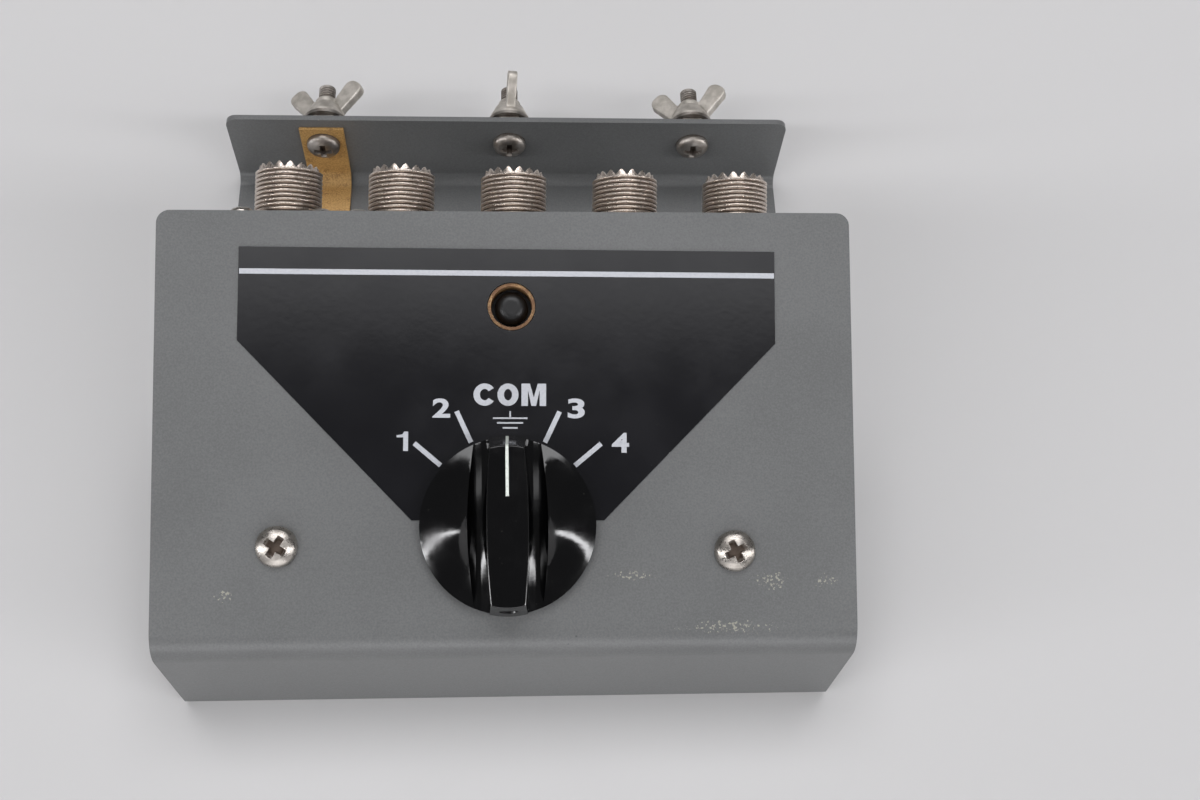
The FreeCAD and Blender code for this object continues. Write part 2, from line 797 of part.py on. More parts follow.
def surge_cap():
    """Domed grip on a collar that slides in the sleeve."""
    grip = disc(cap_radius, -cap_inset - cap_length, -cap_inset, y=surge_reach)
    rim = [edge for edge in grip.Edges if edge.BoundBox.ZMin > -cap_inset - cap_length / 2]
    grip = grip.makeFillet(cap_round, rim)
    collar = disc(sleeve_radius - sleeve_wall - running_gap, cap_bottom(), -cap_inset - cap_length, y=surge_reach)
    return grip.fuse(collar).removeSplitter()


def surge_tube():
    return disc(tube_radius, blade_top + running_gap + electrode_length, cap_bottom() - electrode_length,
                y=surge_reach)


def surge_electrodes():
    top = disc(electrode_radius, cap_bottom() - electrode_length, cap_bottom(), y=surge_reach)
    foot = blade_top + running_gap
    return Part.makeCompound([top, disc(electrode_radius, foot, foot + electrode_length, y=surge_reach)])


# ---- ground bolts and strap -----------------------------------------------------------------

def washer(inner, outer, thickness):
    return disc(outer, 0, thickness).cut(disc(inner, 0, thickness))


def ground_bolts():
    """Heads in front of the flange, the left one on top of the strap."""
    bolts = []
    for x in bolt_places():
        packed = strap_thickness if x < 0 else 0.0
        bolt = along_y(pan_head_screw(number_10_shank, number_10_head, number_10_height, bolt_reach + packed))
        turned = placed(bolt, FreeCAD.Placement(V(0, 0, 0), FreeCAD.Rotation(V(0, 0, 1), 180)))
        bolts.append(moved(turned, x, flange_face_y - packed, bolt_height))
    return Part.makeCompound(bolts)


def at_bolts(shape, start):
    """Copies of a shape along +Y on every bolt, from a distance behind the flange's front face."""
    return Part.makeCompound([moved(along_y(shape), x, flange_face_y + start, bolt_height)
                              for x in bolt_places()])


def lock_washers():
    ring = washer(number_10_shank + running_gap, hex_nut_flats / 2, lock_washer_thickness)
    split = block(0, hex_nut_flats, -lock_washer_split / 2, lock_washer_split / 2, 0, lock_washer_thickness)
    return at_bolts(ring.cut(split), sheet)


def hex_nuts():
    nut = hexagon(hex_nut_flats, 0, hex_nut_height).cut(disc(number_10_shank + seat_gap, 0, hex_nut_height))
    return at_bolts(nut, sheet + lock_washer_thickness)


def wing_washer_start():
    return sheet + lock_washer_thickness + hex_nut_height


def wing_washer():
    return along_y(washer(number_10_shank + running_gap, wing_washer_radius, wing_washer_thickness))


def wing_hub():
    """Wide foot that narrows to a shoulder, with a round neck above it."""
    outline = [V(0, 0, 0), V(hub_base_radius, 0, 0), V(hub_base_radius, 0, hub_foot_height),
               V(hub_shoulder_radius, 0, hub_shoulder_height), V(hub_tip_radius, 0, hub_shoulder_height),
               V(hub_tip_radius, 0, hub_height), V(0, 0, hub_height)]
    return Part.Face(Part.makePolygon(outline + outline[:1])).revolve(V(0, 0, 0), V(0, 0, 1), 360)


def wing_ear():
    """Rounded paddle that leans away from the clamped side. Its root lies inside the hub."""
    root = number_10_shank + wing_root_depth
    path = [V(root, 0, wing_root_depth), V(wing_elbow_reach, 0, wing_elbow_height),
            V(wing_reach, 0, wing_reach_height), V(wing_tip_reach, 0, wing_tip_height),
            V(root, 0, hub_height - wing_root_depth)]
    edges = rounded_edges(path, [wing_corner] * 3)
    edges.append(Part.LineSegment(path[-1], path[0]).toShape())
    return moved(Part.Face(Part.Wire(edges)), y=-wing_thickness / 2).extrude(V(0, wing_thickness, 0))


def wing_nut(angle):
    ear = wing_ear()
    half_turn = FreeCAD.Placement(V(0, 0, 0), FreeCAD.Rotation(V(0, 0, 1), 180))
    nut = wing_hub().fuse([ear, placed(ear, half_turn)])
    nut = nut.cut(disc(number_10_shank + running_gap, -hub_height, 3 * hub_height)).removeSplitter()
    tilt = FreeCAD.Placement(V(0, 0, 0), FreeCAD.Rotation(V(0, 1, 0), -angle))
    return placed(along_y(nut), tilt)


def ground_strap():
    """Brass strap from the left bolt, along the base, up to the housing's cover."""
    screw_x, screw_y = cover_screw_places()[strap_screw_index()]
    level = body_bottom - cover_thickness - strap_thickness
    half = strap_width / 2
    rear_edge = body_place.multVec(V(screw_x, screw_y + half, level))
    front_edge = body_place.multVec(V(screw_x, screw_y - half, level))
    top = V(0, flange_face_y, bolt_height + strap_top_margin)
    crease = V(0, flange_face_y, sheet)
    lift_off = V(0, flange_face_y - strap_run, sheet)
    path = [top, crease, lift_off, V(0, rear_edge.y, rear_edge.z), V(0, front_edge.y, front_edge.z)]
    radii = [rear_bend + strap_thickness, strap_bend, strap_bend]
    strap = moved(bent_sheet(path, strap_thickness, radii, strap_width), x=-bolt_spacing)
    bolt_hole = rod(number_10_shank + hole_gap, flange_face_y - sheet, 2 * sheet, -bolt_spacing, bolt_height)
    screw_hole = placed(disc(number_6_shank + hole_gap, level - sheet, level + 2 * sheet, screw_x, screw_y), body_place)
    return strap.cut([bolt_hole, screw_hole])


# ---- files --------------------------------------------------------------------------------

def main():
    os.makedirs("parts", exist_ok=True)
    write("console_stand", console_stand())
    write("front_label", front_label())
    body_nodes = {
        "switch_housing": switch_housing(), "housing_cover": housing_cover(), "cover_screws": cover_screws(),
        "panel_screws": panel_screws(), "socket_screws": socket_screws(), "common_strip": common_strip(),
        "ground_contact": ground_contact(), "stator_wafer": stator_wafer(), "wafer_posts": wafer_posts(),
        "wafer_screws": wafer_screws(), "shaft_bushing": shaft_bushing(), "bushing_nut": bushing_nut(),
        "selector_shaft": selector_shaft(), "shaft_clip": shaft_clip(), "detent_plate": detent_plate(),
        "detent_carrier": detent_carrier(), "detent_balls": detent_balls(), "detent_spring": detent_spring(),
        "stop_pins": stop_pins(), "rotor_hub": rotor_hub(), "slip_ring": slip_ring(),
        "rotor_blade": rotor_blade(), "selector_knob": selector_knob(), "knob_set_screw": knob_set_screw(),
        "surge_sleeve": surge_sleeve(), "surge_cap": surge_cap(), "surge_tube": surge_tube(),
        "surge_electrodes": surge_electrodes(),
    }
    for index, name in enumerate(socket_names):
        body_nodes[f"socket_shell_{name}"] = moved(socket_shell(), socket_x(index), socket_face, socket_level)
        body_nodes[f"socket_insulator_{name}"] = moved(
            socket_insulator(), socket_x(index), socket_face, socket_level)
        body_nodes[f"socket_contact_{name}"] = moved(socket_contact(), socket_x(index), socket_face, socket_level)
        if name != "common":
            body_nodes[f"feed_strip_{name}"] = feed_strip(index)
    for name, shape in body_nodes.items():
        write(name, placed(shape, body_place))
    write("ground_strap", ground_strap())
    write("ground_bolts", ground_bolts())
    write("lock_washers", lock_washers())
    write("hex_nuts", hex_nuts())
    start = flange_face_y + wing_washer_start()
    for number, (x, angle) in enumerate(zip(bolt_places(), wing_angles), 1):
        write(f"wing_washer_{number}", moved(wing_washer(), x, start, bolt_height))
        write(f"wing_nut_{number}", moved(wing_nut(angle), x, start + wing_washer_thickness, bolt_height))


main()
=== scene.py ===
import bmesh
import bpy
import json
import math
from mathutils import Matrix, Vector


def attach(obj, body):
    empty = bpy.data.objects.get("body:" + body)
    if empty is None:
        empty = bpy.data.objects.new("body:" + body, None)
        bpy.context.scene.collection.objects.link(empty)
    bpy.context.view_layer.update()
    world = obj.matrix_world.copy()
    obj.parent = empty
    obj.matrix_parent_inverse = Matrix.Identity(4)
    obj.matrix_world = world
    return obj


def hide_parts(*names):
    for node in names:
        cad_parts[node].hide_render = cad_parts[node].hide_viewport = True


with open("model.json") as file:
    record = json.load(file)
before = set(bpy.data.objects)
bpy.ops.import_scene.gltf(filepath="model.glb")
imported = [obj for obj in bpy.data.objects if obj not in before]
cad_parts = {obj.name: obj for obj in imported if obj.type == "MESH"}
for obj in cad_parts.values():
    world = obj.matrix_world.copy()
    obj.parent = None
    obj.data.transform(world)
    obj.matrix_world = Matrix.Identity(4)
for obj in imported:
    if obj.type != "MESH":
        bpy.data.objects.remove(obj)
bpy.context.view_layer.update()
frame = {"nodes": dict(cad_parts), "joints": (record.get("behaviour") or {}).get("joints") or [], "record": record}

# ---- Console stand ---------------------------------------------------------------------------
# One sheet of steel, bent into a rear flange, a base, an upright front and a sloping panel. It is
# sprayed with gray textured enamel, which handling has rubbed pale in a few places.

mm = 0.001
enamel_gray = (100, 101, 101)
enamel_rubbed = (176, 174, 158)
enamel_speck = (58, 59, 60)
enamel_grain = 0.42 * mm
enamel_drift = 28 * mm
enamel_relief = 0.02625 * mm
rub_grain = 0.6 * mm
speck_grain = 1.0 * mm
flake_size = 0.9 * mm
sheet_edge_round = 0.35 * mm
same_point = 0.002 * mm

# Rubbed places on the panel: x, y and the reach along each, in millimetres from the shaft
rubbed_places = [
    (28.0, -11.4, 9.0, 2.0), (60.0, -12.9, 7.5, 3.4), (72.6, -12.8, 5.0, 2.4), (50.0, -23.2, 18.0, 2.4),
    (-63.0, -15.0, 4.0, 2.4)]
speck_place = (14.0, -26.3, 4.5, 2.2)


def colour(red, green, blue):
    """A colour as it looks on a screen, 0 to 255 a channel, as linear RGBA."""
    shares = [channel / 255 for channel in (red, green, blue)]
    return [s / 12.92 if s <= 0.04045 else ((s + 0.055) / 1.055) ** 2.4 for s in shares] + [1.0]


def tinted(screen_colour, strength):
    return colour(*(strength * channel for channel in screen_colour))


def standing(origin, out, up):
    """A frame at origin, with its z axis along out and its y axis as near to up as can be."""
    across = up.cross(out).normalized()
    return Matrix.Translation(origin) @ Matrix((across, out.cross(across), out)).transposed().to_4x4()


def add(tree, kind, inputs=None, **settings):
    """Adds a shader node. Each input is given a plain value or another node's output."""
    node = tree.nodes.new("ShaderNode" + kind)
    for name, value in settings.items():
        setattr(node, name, value)
    for name, value in (inputs or {}).items():
        if isinstance(value, bpy.types.NodeSocket):
            tree.links.new(value, node.inputs[name])
        else:
            node.inputs[name].default_value = value
    return node


def calculate(tree, operation, first, second=0.0):
    return add(tree, "Math", {0: first, 1: second}, operation=operation).outputs[0]


def plus(tree, value, more, share):
    """A value with a share of another added to it."""
    return calculate(tree, "ADD", value, calculate(tree, "MULTIPLY", more, share))


def rise(tree, value, low, high):
    """0 up to low, 1 from high, and smooth between."""
    inputs = {"Value": value, "From Min": low, "From Max": high}
    return add(tree, "MapRange", inputs, interpolation_type="SMOOTHSTEP").outputs["Result"]


def between(tree, share, low, high):
    return add(tree, "MapRange", {"Value": share, "To Min": low, "To Max": high}).outputs["Result"]


def lay(tree, share, under, over, most=1.0):
    """The under colour with a share of the over colour laid on it. Most is what shows at a share of 1."""
    if most < 1.0:
        share = calculate(tree, "MULTIPLY", share, most)
    return add(tree, "Mix", {0: share, 6: under, 7: over}, data_type="RGBA").outputs[2]


def cloud(tree, where, size, detail=2.0):
    """Noise with lumps of about the given size, in metres."""
    scaled = add(tree, "VectorMath", {0: where, "Scale": 1 / size}, operation="SCALE").outputs[0]
    return add(tree, "TexNoise", {"Vector": scaled, "Scale": 1.0, "Detail": detail}).outputs["Fac"]


def new_effect(name, inputs, outputs):
    """An empty node group, with its input and output nodes."""
    group = bpy.data.node_groups.new(name, "ShaderNodeTree")
    for side, sockets in (("INPUT", inputs), ("OUTPUT", outputs)):
        for label, kind in sockets.items():
            group.interface.new_socket(label, in_out=side, socket_type="NodeSocket" + kind)
    return group, group.nodes.new("NodeGroupInput").outputs, group.nodes.new("NodeGroupOutput").inputs


def new_finish(name):
    """A node material, its tree, its surface shader and the object's own coordinates."""
    finish = bpy.data.materials.new(name)
    finish.use_nodes = True
    tree = finish.node_tree
    return finish, tree, tree.nodes["Principled BSDF"], add(tree, "TexCoord").outputs["Object"]


def feed(tree, shader, **values):
    """Links or sets the shader's sockets: base_color goes to Base Color, and so on."""
    for name, value in values.items():
        socket = shader.inputs[name.replace("_", " ").title()]
        if isinstance(value, bpy.types.NodeSocket):
            tree.links.new(value, socket)
        else:
            socket.default_value = value


def relief(tree, height, depth):
    """Surface normals for a height between 0 and 1, where 1 stands up by depth."""
    return add(tree, "Bump", {"Height": height, "Distance": depth}).outputs["Normal"]


def effect(tree, group, **values):
    """What a node group gives in this material, for the values given to its inputs."""
    inputs = {name.capitalize(): value for name, value in values.items()}
    return add(tree, "Group", inputs, node_tree=group).outputs[0]


def edge_wear_effect():
    """Where a surface turns within reach of an edge, broken up so that only a share of it is worn."""
    group, given, out = new_effect(
        "Edge wear", {"Where": "Vector", "Reach": "Float", "Share": "Float"}, {"Worn": "Float"})
    rounded = add(group, "Bevel", {"Radius": given["Reach"]}, samples=6).outputs[0]
    normal = add(group, "NewGeometry").outputs["Normal"]
    aligned = add(group, "VectorMath", {0: rounded, 1: normal}, operation="DOT_PRODUCT").outputs["Value"]
    edge = rise(group, calculate(group, "SUBTRACT", 1.0, aligned), 0.01, 0.12)
    reach = calculate(group, "MULTIPLY", given["Reach"], 2.0)
    open_sky = add(group, "AmbientOcclusion", {"Distance": reach}, samples=6).outputs["AO"]
    edge = calculate(group, "MULTIPLY", edge, rise(group, open_sky, 0.75, 0.95))
    flakes = cloud(group, given["Where"], flake_size, 4.0)
    kept = calculate(group, "SUBTRACT", 0.75, calculate(group, "MULTIPLY", given["Share"], 0.5))
    broken = rise(group, calculate(group, "SUBTRACT", flakes, kept), 0.0, 0.06)
    group.links.new(calculate(group, "MULTIPLY", edge, broken), out["Worn"])
    return group


def rubbed_place_effect():
    """A patch of fine rubbed spots round a point, thinning out to its ends."""
    group, given, out = new_effect(
        "Rubbed place", {"Where": "Vector", "Middle": "Vector", "Reach": "Vector", "Grain": "Float"},
        {"Rubbed": "Float"})
    away = add(group, "VectorMath", {0: given["Where"], 1: given["Middle"]}, operation="SUBTRACT").outputs[0]
    shares = add(group, "VectorMath", {0: away, 1: given["Reach"]}, operation="DIVIDE").outputs[0]
    length = add(group, "VectorMath", {0: shares}, operation="LENGTH").outputs["Value"]
    nearness = rise(group, calculate(group, "SUBTRACT", 1.0, length), 0.0, 0.9)
    size = add(group, "VectorMath", {0: given["Where"]}, operation="SCALE")
    group.links.new(calculate(group, "DIVIDE", 1.0, given["Grain"]), size.inputs["Scale"])
    spots = add(group, "TexNoise", {"Vector": size.outputs[0], "Scale": 1.0, "Detail": 3.0}).outputs["Fac"]
    limit = calculate(group, "SUBTRACT", 0.72, calculate(group, "MULTIPLY", nearness, 0.2))
    rubbed = rise(group, calculate(group, "SUBTRACT", spots, limit), 0.0, 0.07)
    group.links.new(calculate(group, "MULTIPLY", rubbed, rise(group, nearness, 0.0, 0.15)), out["Rubbed"])
    return group


turning = next(joint for joint in frame["joints"] if joint["name"] == "knob_turn")
shaft_foot, panel_out = Vector(turning["pos_m"]), Vector(turning["axis"])
panel_frame = standing(shaft_foot, panel_out, Vector((0, 0, 1)))
edge_wear = edge_wear_effect()
rubbed_place = rubbed_place_effect()


def patch_mask(tree, where, place, grain):
    x, y, reach_x, reach_y = (size * mm for size in place)
    return effect(tree, rubbed_place, where=where, middle=panel_frame @ Vector((x, y, 0)), grain=grain,
                  reach=(reach_x, reach_y, reach_y))


def gray_enamel():
    finish, tree, shader, where = new_finish("gray enamel")
    grain = cloud(tree, where, enamel_grain, 3.0)
    drift = cloud(tree, where, enamel_drift, 3.0)
    mottle = plus(tree, calculate(tree, "MULTIPLY", grain, 0.7), drift, 0.3)
    paint = lay(tree, rise(tree, mottle, 0.3, 0.7), tinted(enamel_gray, 0.93), tinted(enamel_gray, 1.06))
    rubbed = effect(tree, edge_wear, where=where, reach=0.4 * mm, share=0.12)
    for place in rubbed_places:
        rubbed = calculate(tree, "MAXIMUM", rubbed, patch_mask(tree, where, place, rub_grain))
    paint = lay(tree, rubbed, paint, colour(*enamel_rubbed), most=0.6)
    specks = patch_mask(tree, where, speck_place, speck_grain)
    paint = lay(tree, specks, paint, colour(*enamel_speck), most=0.7)
    feed(tree, shader, base_color=paint, roughness=between(tree, drift, 0.32, 0.46),
         normal=relief(tree, grain, enamel_relief))
    return finish


def dress(finish, *names):
    """Gives CAD nodes a finish."""
    for name in names:
        for slot in frame["nodes"][name].material_slots:
            slot.material = finish


def round_edges(piece, width, angle=35.0, segments=2):
    """Joins a piece's faces along their edges, rounds the sharp ones and keeps flat faces flat."""
    piece.modifiers.new("one skin", "WELD").merge_threshold = same_point
    bevel = piece.modifiers.new("rounded edges", "BEVEL")
    bevel.width = width
    bevel.segments = segments
    bevel.angle_limit = math.radians(angle)
    piece.modifiers.new("flat faces", "WEIGHTED_NORMAL")


dress(gray_enamel(), "console_stand")
round_edges(frame["nodes"]["console_stand"], sheet_edge_round)

# ---- Switch housing and its contacts -----------------------------------------------------------
# A block milled from aluminium, with a thin cover under it. Inside are silver plated strips on a
# phenolic wafer, and the selector's steel shaft, detent and rotor.

mill_length = 9 * mm
mill_pitch = 0.5 * mm
lathe_pitch = 0.14 * mm
sawn_round = 0.4 * mm
metal_haze = 3.5 * mm
metal_spots = 0.5 * mm
metal_relief = 0.006 * mm
stain_patch = 1.4 * mm
laminate_brown = (88, 56, 34)
laminate_light = (118, 78, 48)
laminate_relief = 0.01 * mm


def recess_stain_effect():
    """Where the surface is closed in, patchy: grime settles there and no cloth reaches it."""
    group, given, out = new_effect(
        "Recess stain", {"Where": "Vector", "Reach": "Float", "Share": "Float"}, {"Stain": "Float"})
    open_sky = add(group, "AmbientOcclusion", {"Distance": given["Reach"]}, samples=8).outputs["AO"]
    patches = cloud(group, given["Where"], stain_patch, 4.0)
    settled = plus(group, calculate(group, "SUBTRACT", 1.0, open_sky), patches, 0.35)
    limit = calculate(group, "SUBTRACT", 1.0, given["Share"])
    group.links.new(rise(group, calculate(group, "SUBTRACT", settled, limit), 0.0, 0.35), out["Stain"])
    return group


def fine_lines_effect():
    """Fine lines of one direction, long and thin, as from milling, brushing or wiping."""
    group, given, out = new_effect(
        "Fine lines", {"Where": "Vector", "Stretch": "Vector"}, {"Lines": "Float"})
    stretched = {0: given["Where"], 1: given["Stretch"]}
    drawn = add(group, "VectorMath", stretched, operation="MULTIPLY").outputs[0]
    noise = {"Vector": drawn, "Scale": 1.0, "Detail": 5.0, "Roughness": 0.7}
    lines = add(group, "TexNoise", noise).outputs["Fac"]
    group.links.new(rise(group, lines, 0.3, 0.7), out["Lines"])
    return group


recess_stain = recess_stain_effect()
fine_lines = fine_lines_effect()


def bare_metal(name, clean, dull, stained, gloss, stretch,
               stain_share=0.35, stain_reach=0.8 * mm, lathe_depth=0.0):
    """Worn metal: its gloss is clouded, and its recesses hold stains. A mesh may mark its own recesses.

    Stretch is about how many fine lines there are in a metre along each axis.
    """
    finish, tree, shader, where = new_finish(name)
    lines = effect(tree, fine_lines, where=where, stretch=stretch)
    haze = rise(tree, cloud(tree, where, metal_haze, 4.0), 0.35, 0.7)
    spots = rise(tree, cloud(tree, where, metal_spots, 2.0), 0.45, 0.75)
    surface = lay(tree, haze, colour(*clean), colour(*dull))
    stain = effect(tree, recess_stain, where=where, reach=stain_reach, share=stain_share)
    recess = add(tree, "Attribute", attribute_name="recess").outputs["Fac"]
    stain = calculate(tree, "MAXIMUM", stain, rise(tree, plus(tree, recess, spots, 0.3), 0.15, 0.75))
    surface = lay(tree, stain, surface, colour(*stained), most=0.9)
    rough = plus(tree, between(tree, lines, gloss, gloss + 0.14), spots, 0.12)
    normal = relief(tree, lines, metal_relief)
    if lathe_depth:
        radius = add(tree, "Attribute", attribute_name="turned").outputs["Fac"]
        turns = calculate(tree, "DIVIDE", radius, lathe_pitch)
        noise = {"W": turns, "Scale": 1.0, "Detail": 2.0}
        marks = add(tree, "TexNoise", noise, noise_dimensions="1D").outputs["Fac"]
        bump = {"Height": marks, "Distance": lathe_depth, "Normal": normal}
        normal = add(tree, "Bump", bump).outputs["Normal"]
    feed(tree, shader, base_color=surface, roughness=plus(tree, rough, stain, 0.3),
         metallic=between(tree, stain, 1.0, 0.35), normal=normal)
    return finish


def phenolic():
    """Brown laminate with its paper's faint lines."""
    finish, tree, shader, where = new_finish("phenolic laminate")
    lines = effect(tree, fine_lines, where=where, stretch=(900, 260, 260))
    feed(tree, shader, base_color=lay(tree, lines, colour(*laminate_brown), colour(*laminate_light)),
         roughness=between(tree, lines, 0.42, 0.6), normal=relief(tree, lines, laminate_relief))
    return finish


milled_aluminium = bare_metal(
    "milled aluminium", clean=(204, 205, 206), dull=(196, 197, 199), stained=(120, 117, 112), gloss=0.3,
    stretch=(1 / mill_length, 1 / mill_pitch, 900), stain_share=0.2)
plated_steel = bare_metal(
    "zinc plated steel", clean=(200, 198, 192), dull=(170, 168, 160), stained=(86, 74, 60), gloss=0.28,
    stretch=(700, 700, 700))
plated_strip = bare_metal(
    "silver plated brass", clean=(206, 196, 168), dull=(170, 152, 116), stained=(96, 76, 50), gloss=0.3,
    stretch=(1200, 300, 300))

dress(milled_aluminium, "switch_housing", "housing_cover")
round_edges(frame["nodes"]["housing_cover"], sawn_round)
dress(plated_steel, "wafer_posts", "wafer_screws", "shaft_bushing", "bushing_nut", "selector_shaft",
      "shaft_clip", "detent_plate", "detent_carrier", "detent_balls", "detent_spring", "stop_pins",
      "knob_set_screw")
dress(plated_strip, "common_strip", "ground_contact", "slip_ring", "rotor_blade",
      "feed_strip_1", "feed_strip_2", "feed_strip_3", "feed_strip_4")
dress(phenolic(), "stator_wafer", "rotor_hub")

# ---- Sockets -----------------------------------------------------------------------------------
# Five panel sockets, each a turned and nickel plated shell with a square flange, a 24 turns to the
# inch thread and a rim of 16 teeth. An insulator holds the plated contact. Four screws fix each.

thread_radius = 7.9375 * mm
thread_pitch = 25.4 / 24 * mm
thread_depth = 0.6 * mm
groove_share = 0.66
groove_sharpness = 1.25
thread_length = 12.3 * mm
thread_foot = 0.2 * mm
thread_lead = 0.12 * mm
rim_radius = 7.15 * mm
rim_end_radius = 6.9 * mm
rim_length = 1.5 * mm
rim_teeth = 16
tooth_height = 1.35 * mm
tooth_flank = 1 / 2.2
tooth_slope = 0.1 * mm
tooth_root_depth = 1.05 * tooth_height
rim_inside_depth = 1.5 * tooth_height
nose_bore = 6.35 * mm
nose_depth = 5.5 * mm
seat_bore = 6.0 * mm
seat_depth = 12.0 * mm
feed_bore = 4.5 * mm
flange_side = 25.4 * mm
flange_thickness = 1.6 * mm
flange_corner = 1.3 * mm
flange_bevel = 0.25 * mm
spigot_length = 5.6 * mm
screw_spread = 9.1 * mm
screw_hole = 1.62 * mm
hole_steps = 40
shell_steps = 128
shell_sharp = 50.0
nickel_clean = (226, 214, 204)
nickel_dull = (184, 172, 162)
nickel_hazed = (150, 138, 124)
nickel_grain = 0.35 * mm
nickel_haze = 5 * mm
nickel_relief = 0.02 * mm
tarnish_brown = (70, 54, 42)
tarnish_patch = 1.2 * mm
grime_brown = (84, 68, 54)
insulator_white = (236, 234, 226)
insulator_cream = (222, 219, 208)
insulator_haze = 2.5 * mm
insulator_grain = 0.3 * mm
insulator_relief = 0.006 * mm


def ring(radius, height, steps):
    """Points round the z axis. Radius and height are numbers, or functions of the share of a turn."""
    points = []
    for step in range(steps):
        share = step / steps
        out = radius(share) if callable(radius) else radius
        up = height(share) if callable(height) else height
        points.append(Vector((out * math.cos(math.tau * share), out * math.sin(math.tau * share), up)))
    return points


def thread_rings(radius, pitch, depth, low, high, steps):
    """Rings of a helical thread with rounded crests and narrow roots, plain at its foot."""
    rows_in_a_turn = 10
    rows = round((high - low) / pitch * rows_in_a_turn)
    rings = []
    for row in range(rows + 1):
        height = low + (high - low) * row / rows
        run_out = min(1.0, row / rows_in_a_turn)

        def cut_radius(share):
            phase = (height / pitch - share) % 1.0
            groove = max(0.0, 1 - abs(phase - 0.5) * 2 / groove_share)
            return radius - depth * run_out * groove ** groove_sharpness

        rings.append(ring(cut_radius, height, steps))
    return rings


def skin(name, rings, closed=False, sharp=40.0):
    """A mesh through the rings, in order. A ring of one point closes an end."""
    shell = bmesh.new()
    rows = [[shell.verts.new(point) for point in points] for points in rings]
    following_rows = rows[1:] + rows[:1] if closed else rows[1:]
    for row, following in zip(rows, following_rows):
        steps = max(len(row), len(following))
        for step in range(steps):
            ahead = (step + 1) % steps
            corners = [row[step % len(row)], row[ahead % len(row)],
                       following[ahead % len(following)], following[step % len(following)]]
            shell.faces.new(list(dict.fromkeys(corners)))
    bmesh.ops.recalc_face_normals(shell, faces=shell.faces)
    return finished_mesh(name, shell, sharp)


def finished_mesh(name, shell, sharp=40.0):
    mesh = bpy.data.meshes.new(name)
    shell.to_mesh(mesh)
    shell.free()
    mesh.shade_smooth()
    mesh.set_sharp_from_angle(angle=math.radians(sharp))
    return mesh


def joined(name, meshes_and_places, sharp=40.0):
    """One mesh from copies of meshes, each set in its place."""
    whole = bmesh.new()
    for mesh, place in meshes_and_places:
        copy = mesh.copy()
        copy.transform(place)
        whole.from_mesh(copy)
        bpy.data.meshes.remove(copy)
    return finished_mesh(name, whole, sharp)


def plate(name, outline, holes, thickness, bevel):
    """A flat plate up from z = 0, with round holes given as (x, y, radius)."""
    curve = bpy.data.curves.new(name, "CURVE")
    curve.dimensions = "2D"
    curve.fill_mode = "BOTH"
    curve.extrude = thickness / 2 - bevel
    curve.bevel_depth = bevel
    curve.offset = -bevel
    rims = [[(x + point.x, y + point.y) for point in ring(radius, 0, hole_steps)]
            for x, y, radius in holes]
    for loop in [outline] + rims:
        spline = curve.splines.new("POLY")
        spline.points.add(len(loop) - 1)
        spline.use_cyclic_u = True
        for point, (x, y) in zip(spline.points, loop):
            point.co = (x, y, 0, 1)
    holder = bpy.data.objects.new(name, curve)
    mesh = bpy.data.meshes.new_from_object(holder)
    bpy.data.objects.remove(holder)
    mesh.transform(Matrix.Translation((0, 0, thickness / 2)))
    return mesh


def rounded_square(side, corner, steps=6):
    """The outline of a square plate, round from quarter to quarter of a turn."""
    reach = side / 2 - corner
    middles = [(reach, reach), (-reach, reach), (-reach, -reach), (reach, -reach)]
    points = []
    for quarter, (x, y) in enumerate(middles):
        for step in range(steps + 1):
            turn = math.tau * (quarter + step / steps) / 4
            points.append((x + corner * math.cos(turn), y + corner * math.sin(turn)))
    return points


def show(name, mesh, finish, body, stands_for=(), place=Matrix()):
    """Puts a mesh in the scene as a piece that rides on a body."""
    piece = bpy.data.objects.new(name, mesh)
    bpy.context.scene.collection.objects.link(piece)
    if not mesh.materials:
        mesh.materials.append(finish)
    piece.matrix_world = place
    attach(piece, body)
    if stands_for:
        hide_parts(*stands_for)


def tooth_height_at(share):
    """The rim's end: pointed teeth with short flat tips."""
    phase = (share * rim_teeth) % 1.0
    climb = min(1.0, min(phase, 1 - phase) / tooth_flank)
    return thread_length + rim_length - tooth_height * (1 - climb)


def socket_shell():
    """A turned shell that points up from its flange, which lies just under z = 0."""
    end = thread_length + rim_length
    profile = [(rim_radius, thread_length),
               (rim_radius, end - tooth_root_depth),
               (rim_end_radius, tooth_height_at),
               (nose_bore, lambda share: tooth_height_at(share) - tooth_slope),
               (nose_bore, end - rim_inside_depth),
               (nose_bore, end - nose_depth),
               (seat_bore, end - nose_depth),
               (seat_bore, end - seat_depth),
               (feed_bore, end - seat_depth),
               (feed_bore, -spigot_length),
               (seat_bore, -spigot_length),
               (seat_bore, 0)]
    rings = [ring(thread_radius, 0, shell_steps)]
    rings += thread_rings(thread_radius, thread_pitch, thread_depth, thread_foot, thread_length - thread_lead,
                          shell_steps)
    rings += [ring(radius, height, shell_steps) for radius, height in profile]
    barrel = skin("socket barrel", rings, closed=True, sharp=shell_sharp)
    sides = (-screw_spread, screw_spread)
    holes = [(x, y, screw_hole) for x in sides for y in sides] + [(0, 0, seat_bore)]
    outline = rounded_square(flange_side, flange_corner)
    flange = plate("socket flange", outline, holes, flange_thickness, flange_bevel)
    flange_place = Matrix.Translation((0, 0, -flange_thickness))
    shell = joined("socket shell", [(barrel, Matrix()), (flange, flange_place)], shell_sharp)

    groove = shell.attributes.new("groove", "FLOAT", "POINT")
    for vertex, depth in zip(shell.vertices, groove.data):
        below = (thread_radius - math.hypot(vertex.co.x, vertex.co.y)) / thread_depth
        on_thread = 0 < vertex.co.z < thread_length and below < 1.05
        depth.value = max(0.0, below) if on_thread else 0.0
    return shell


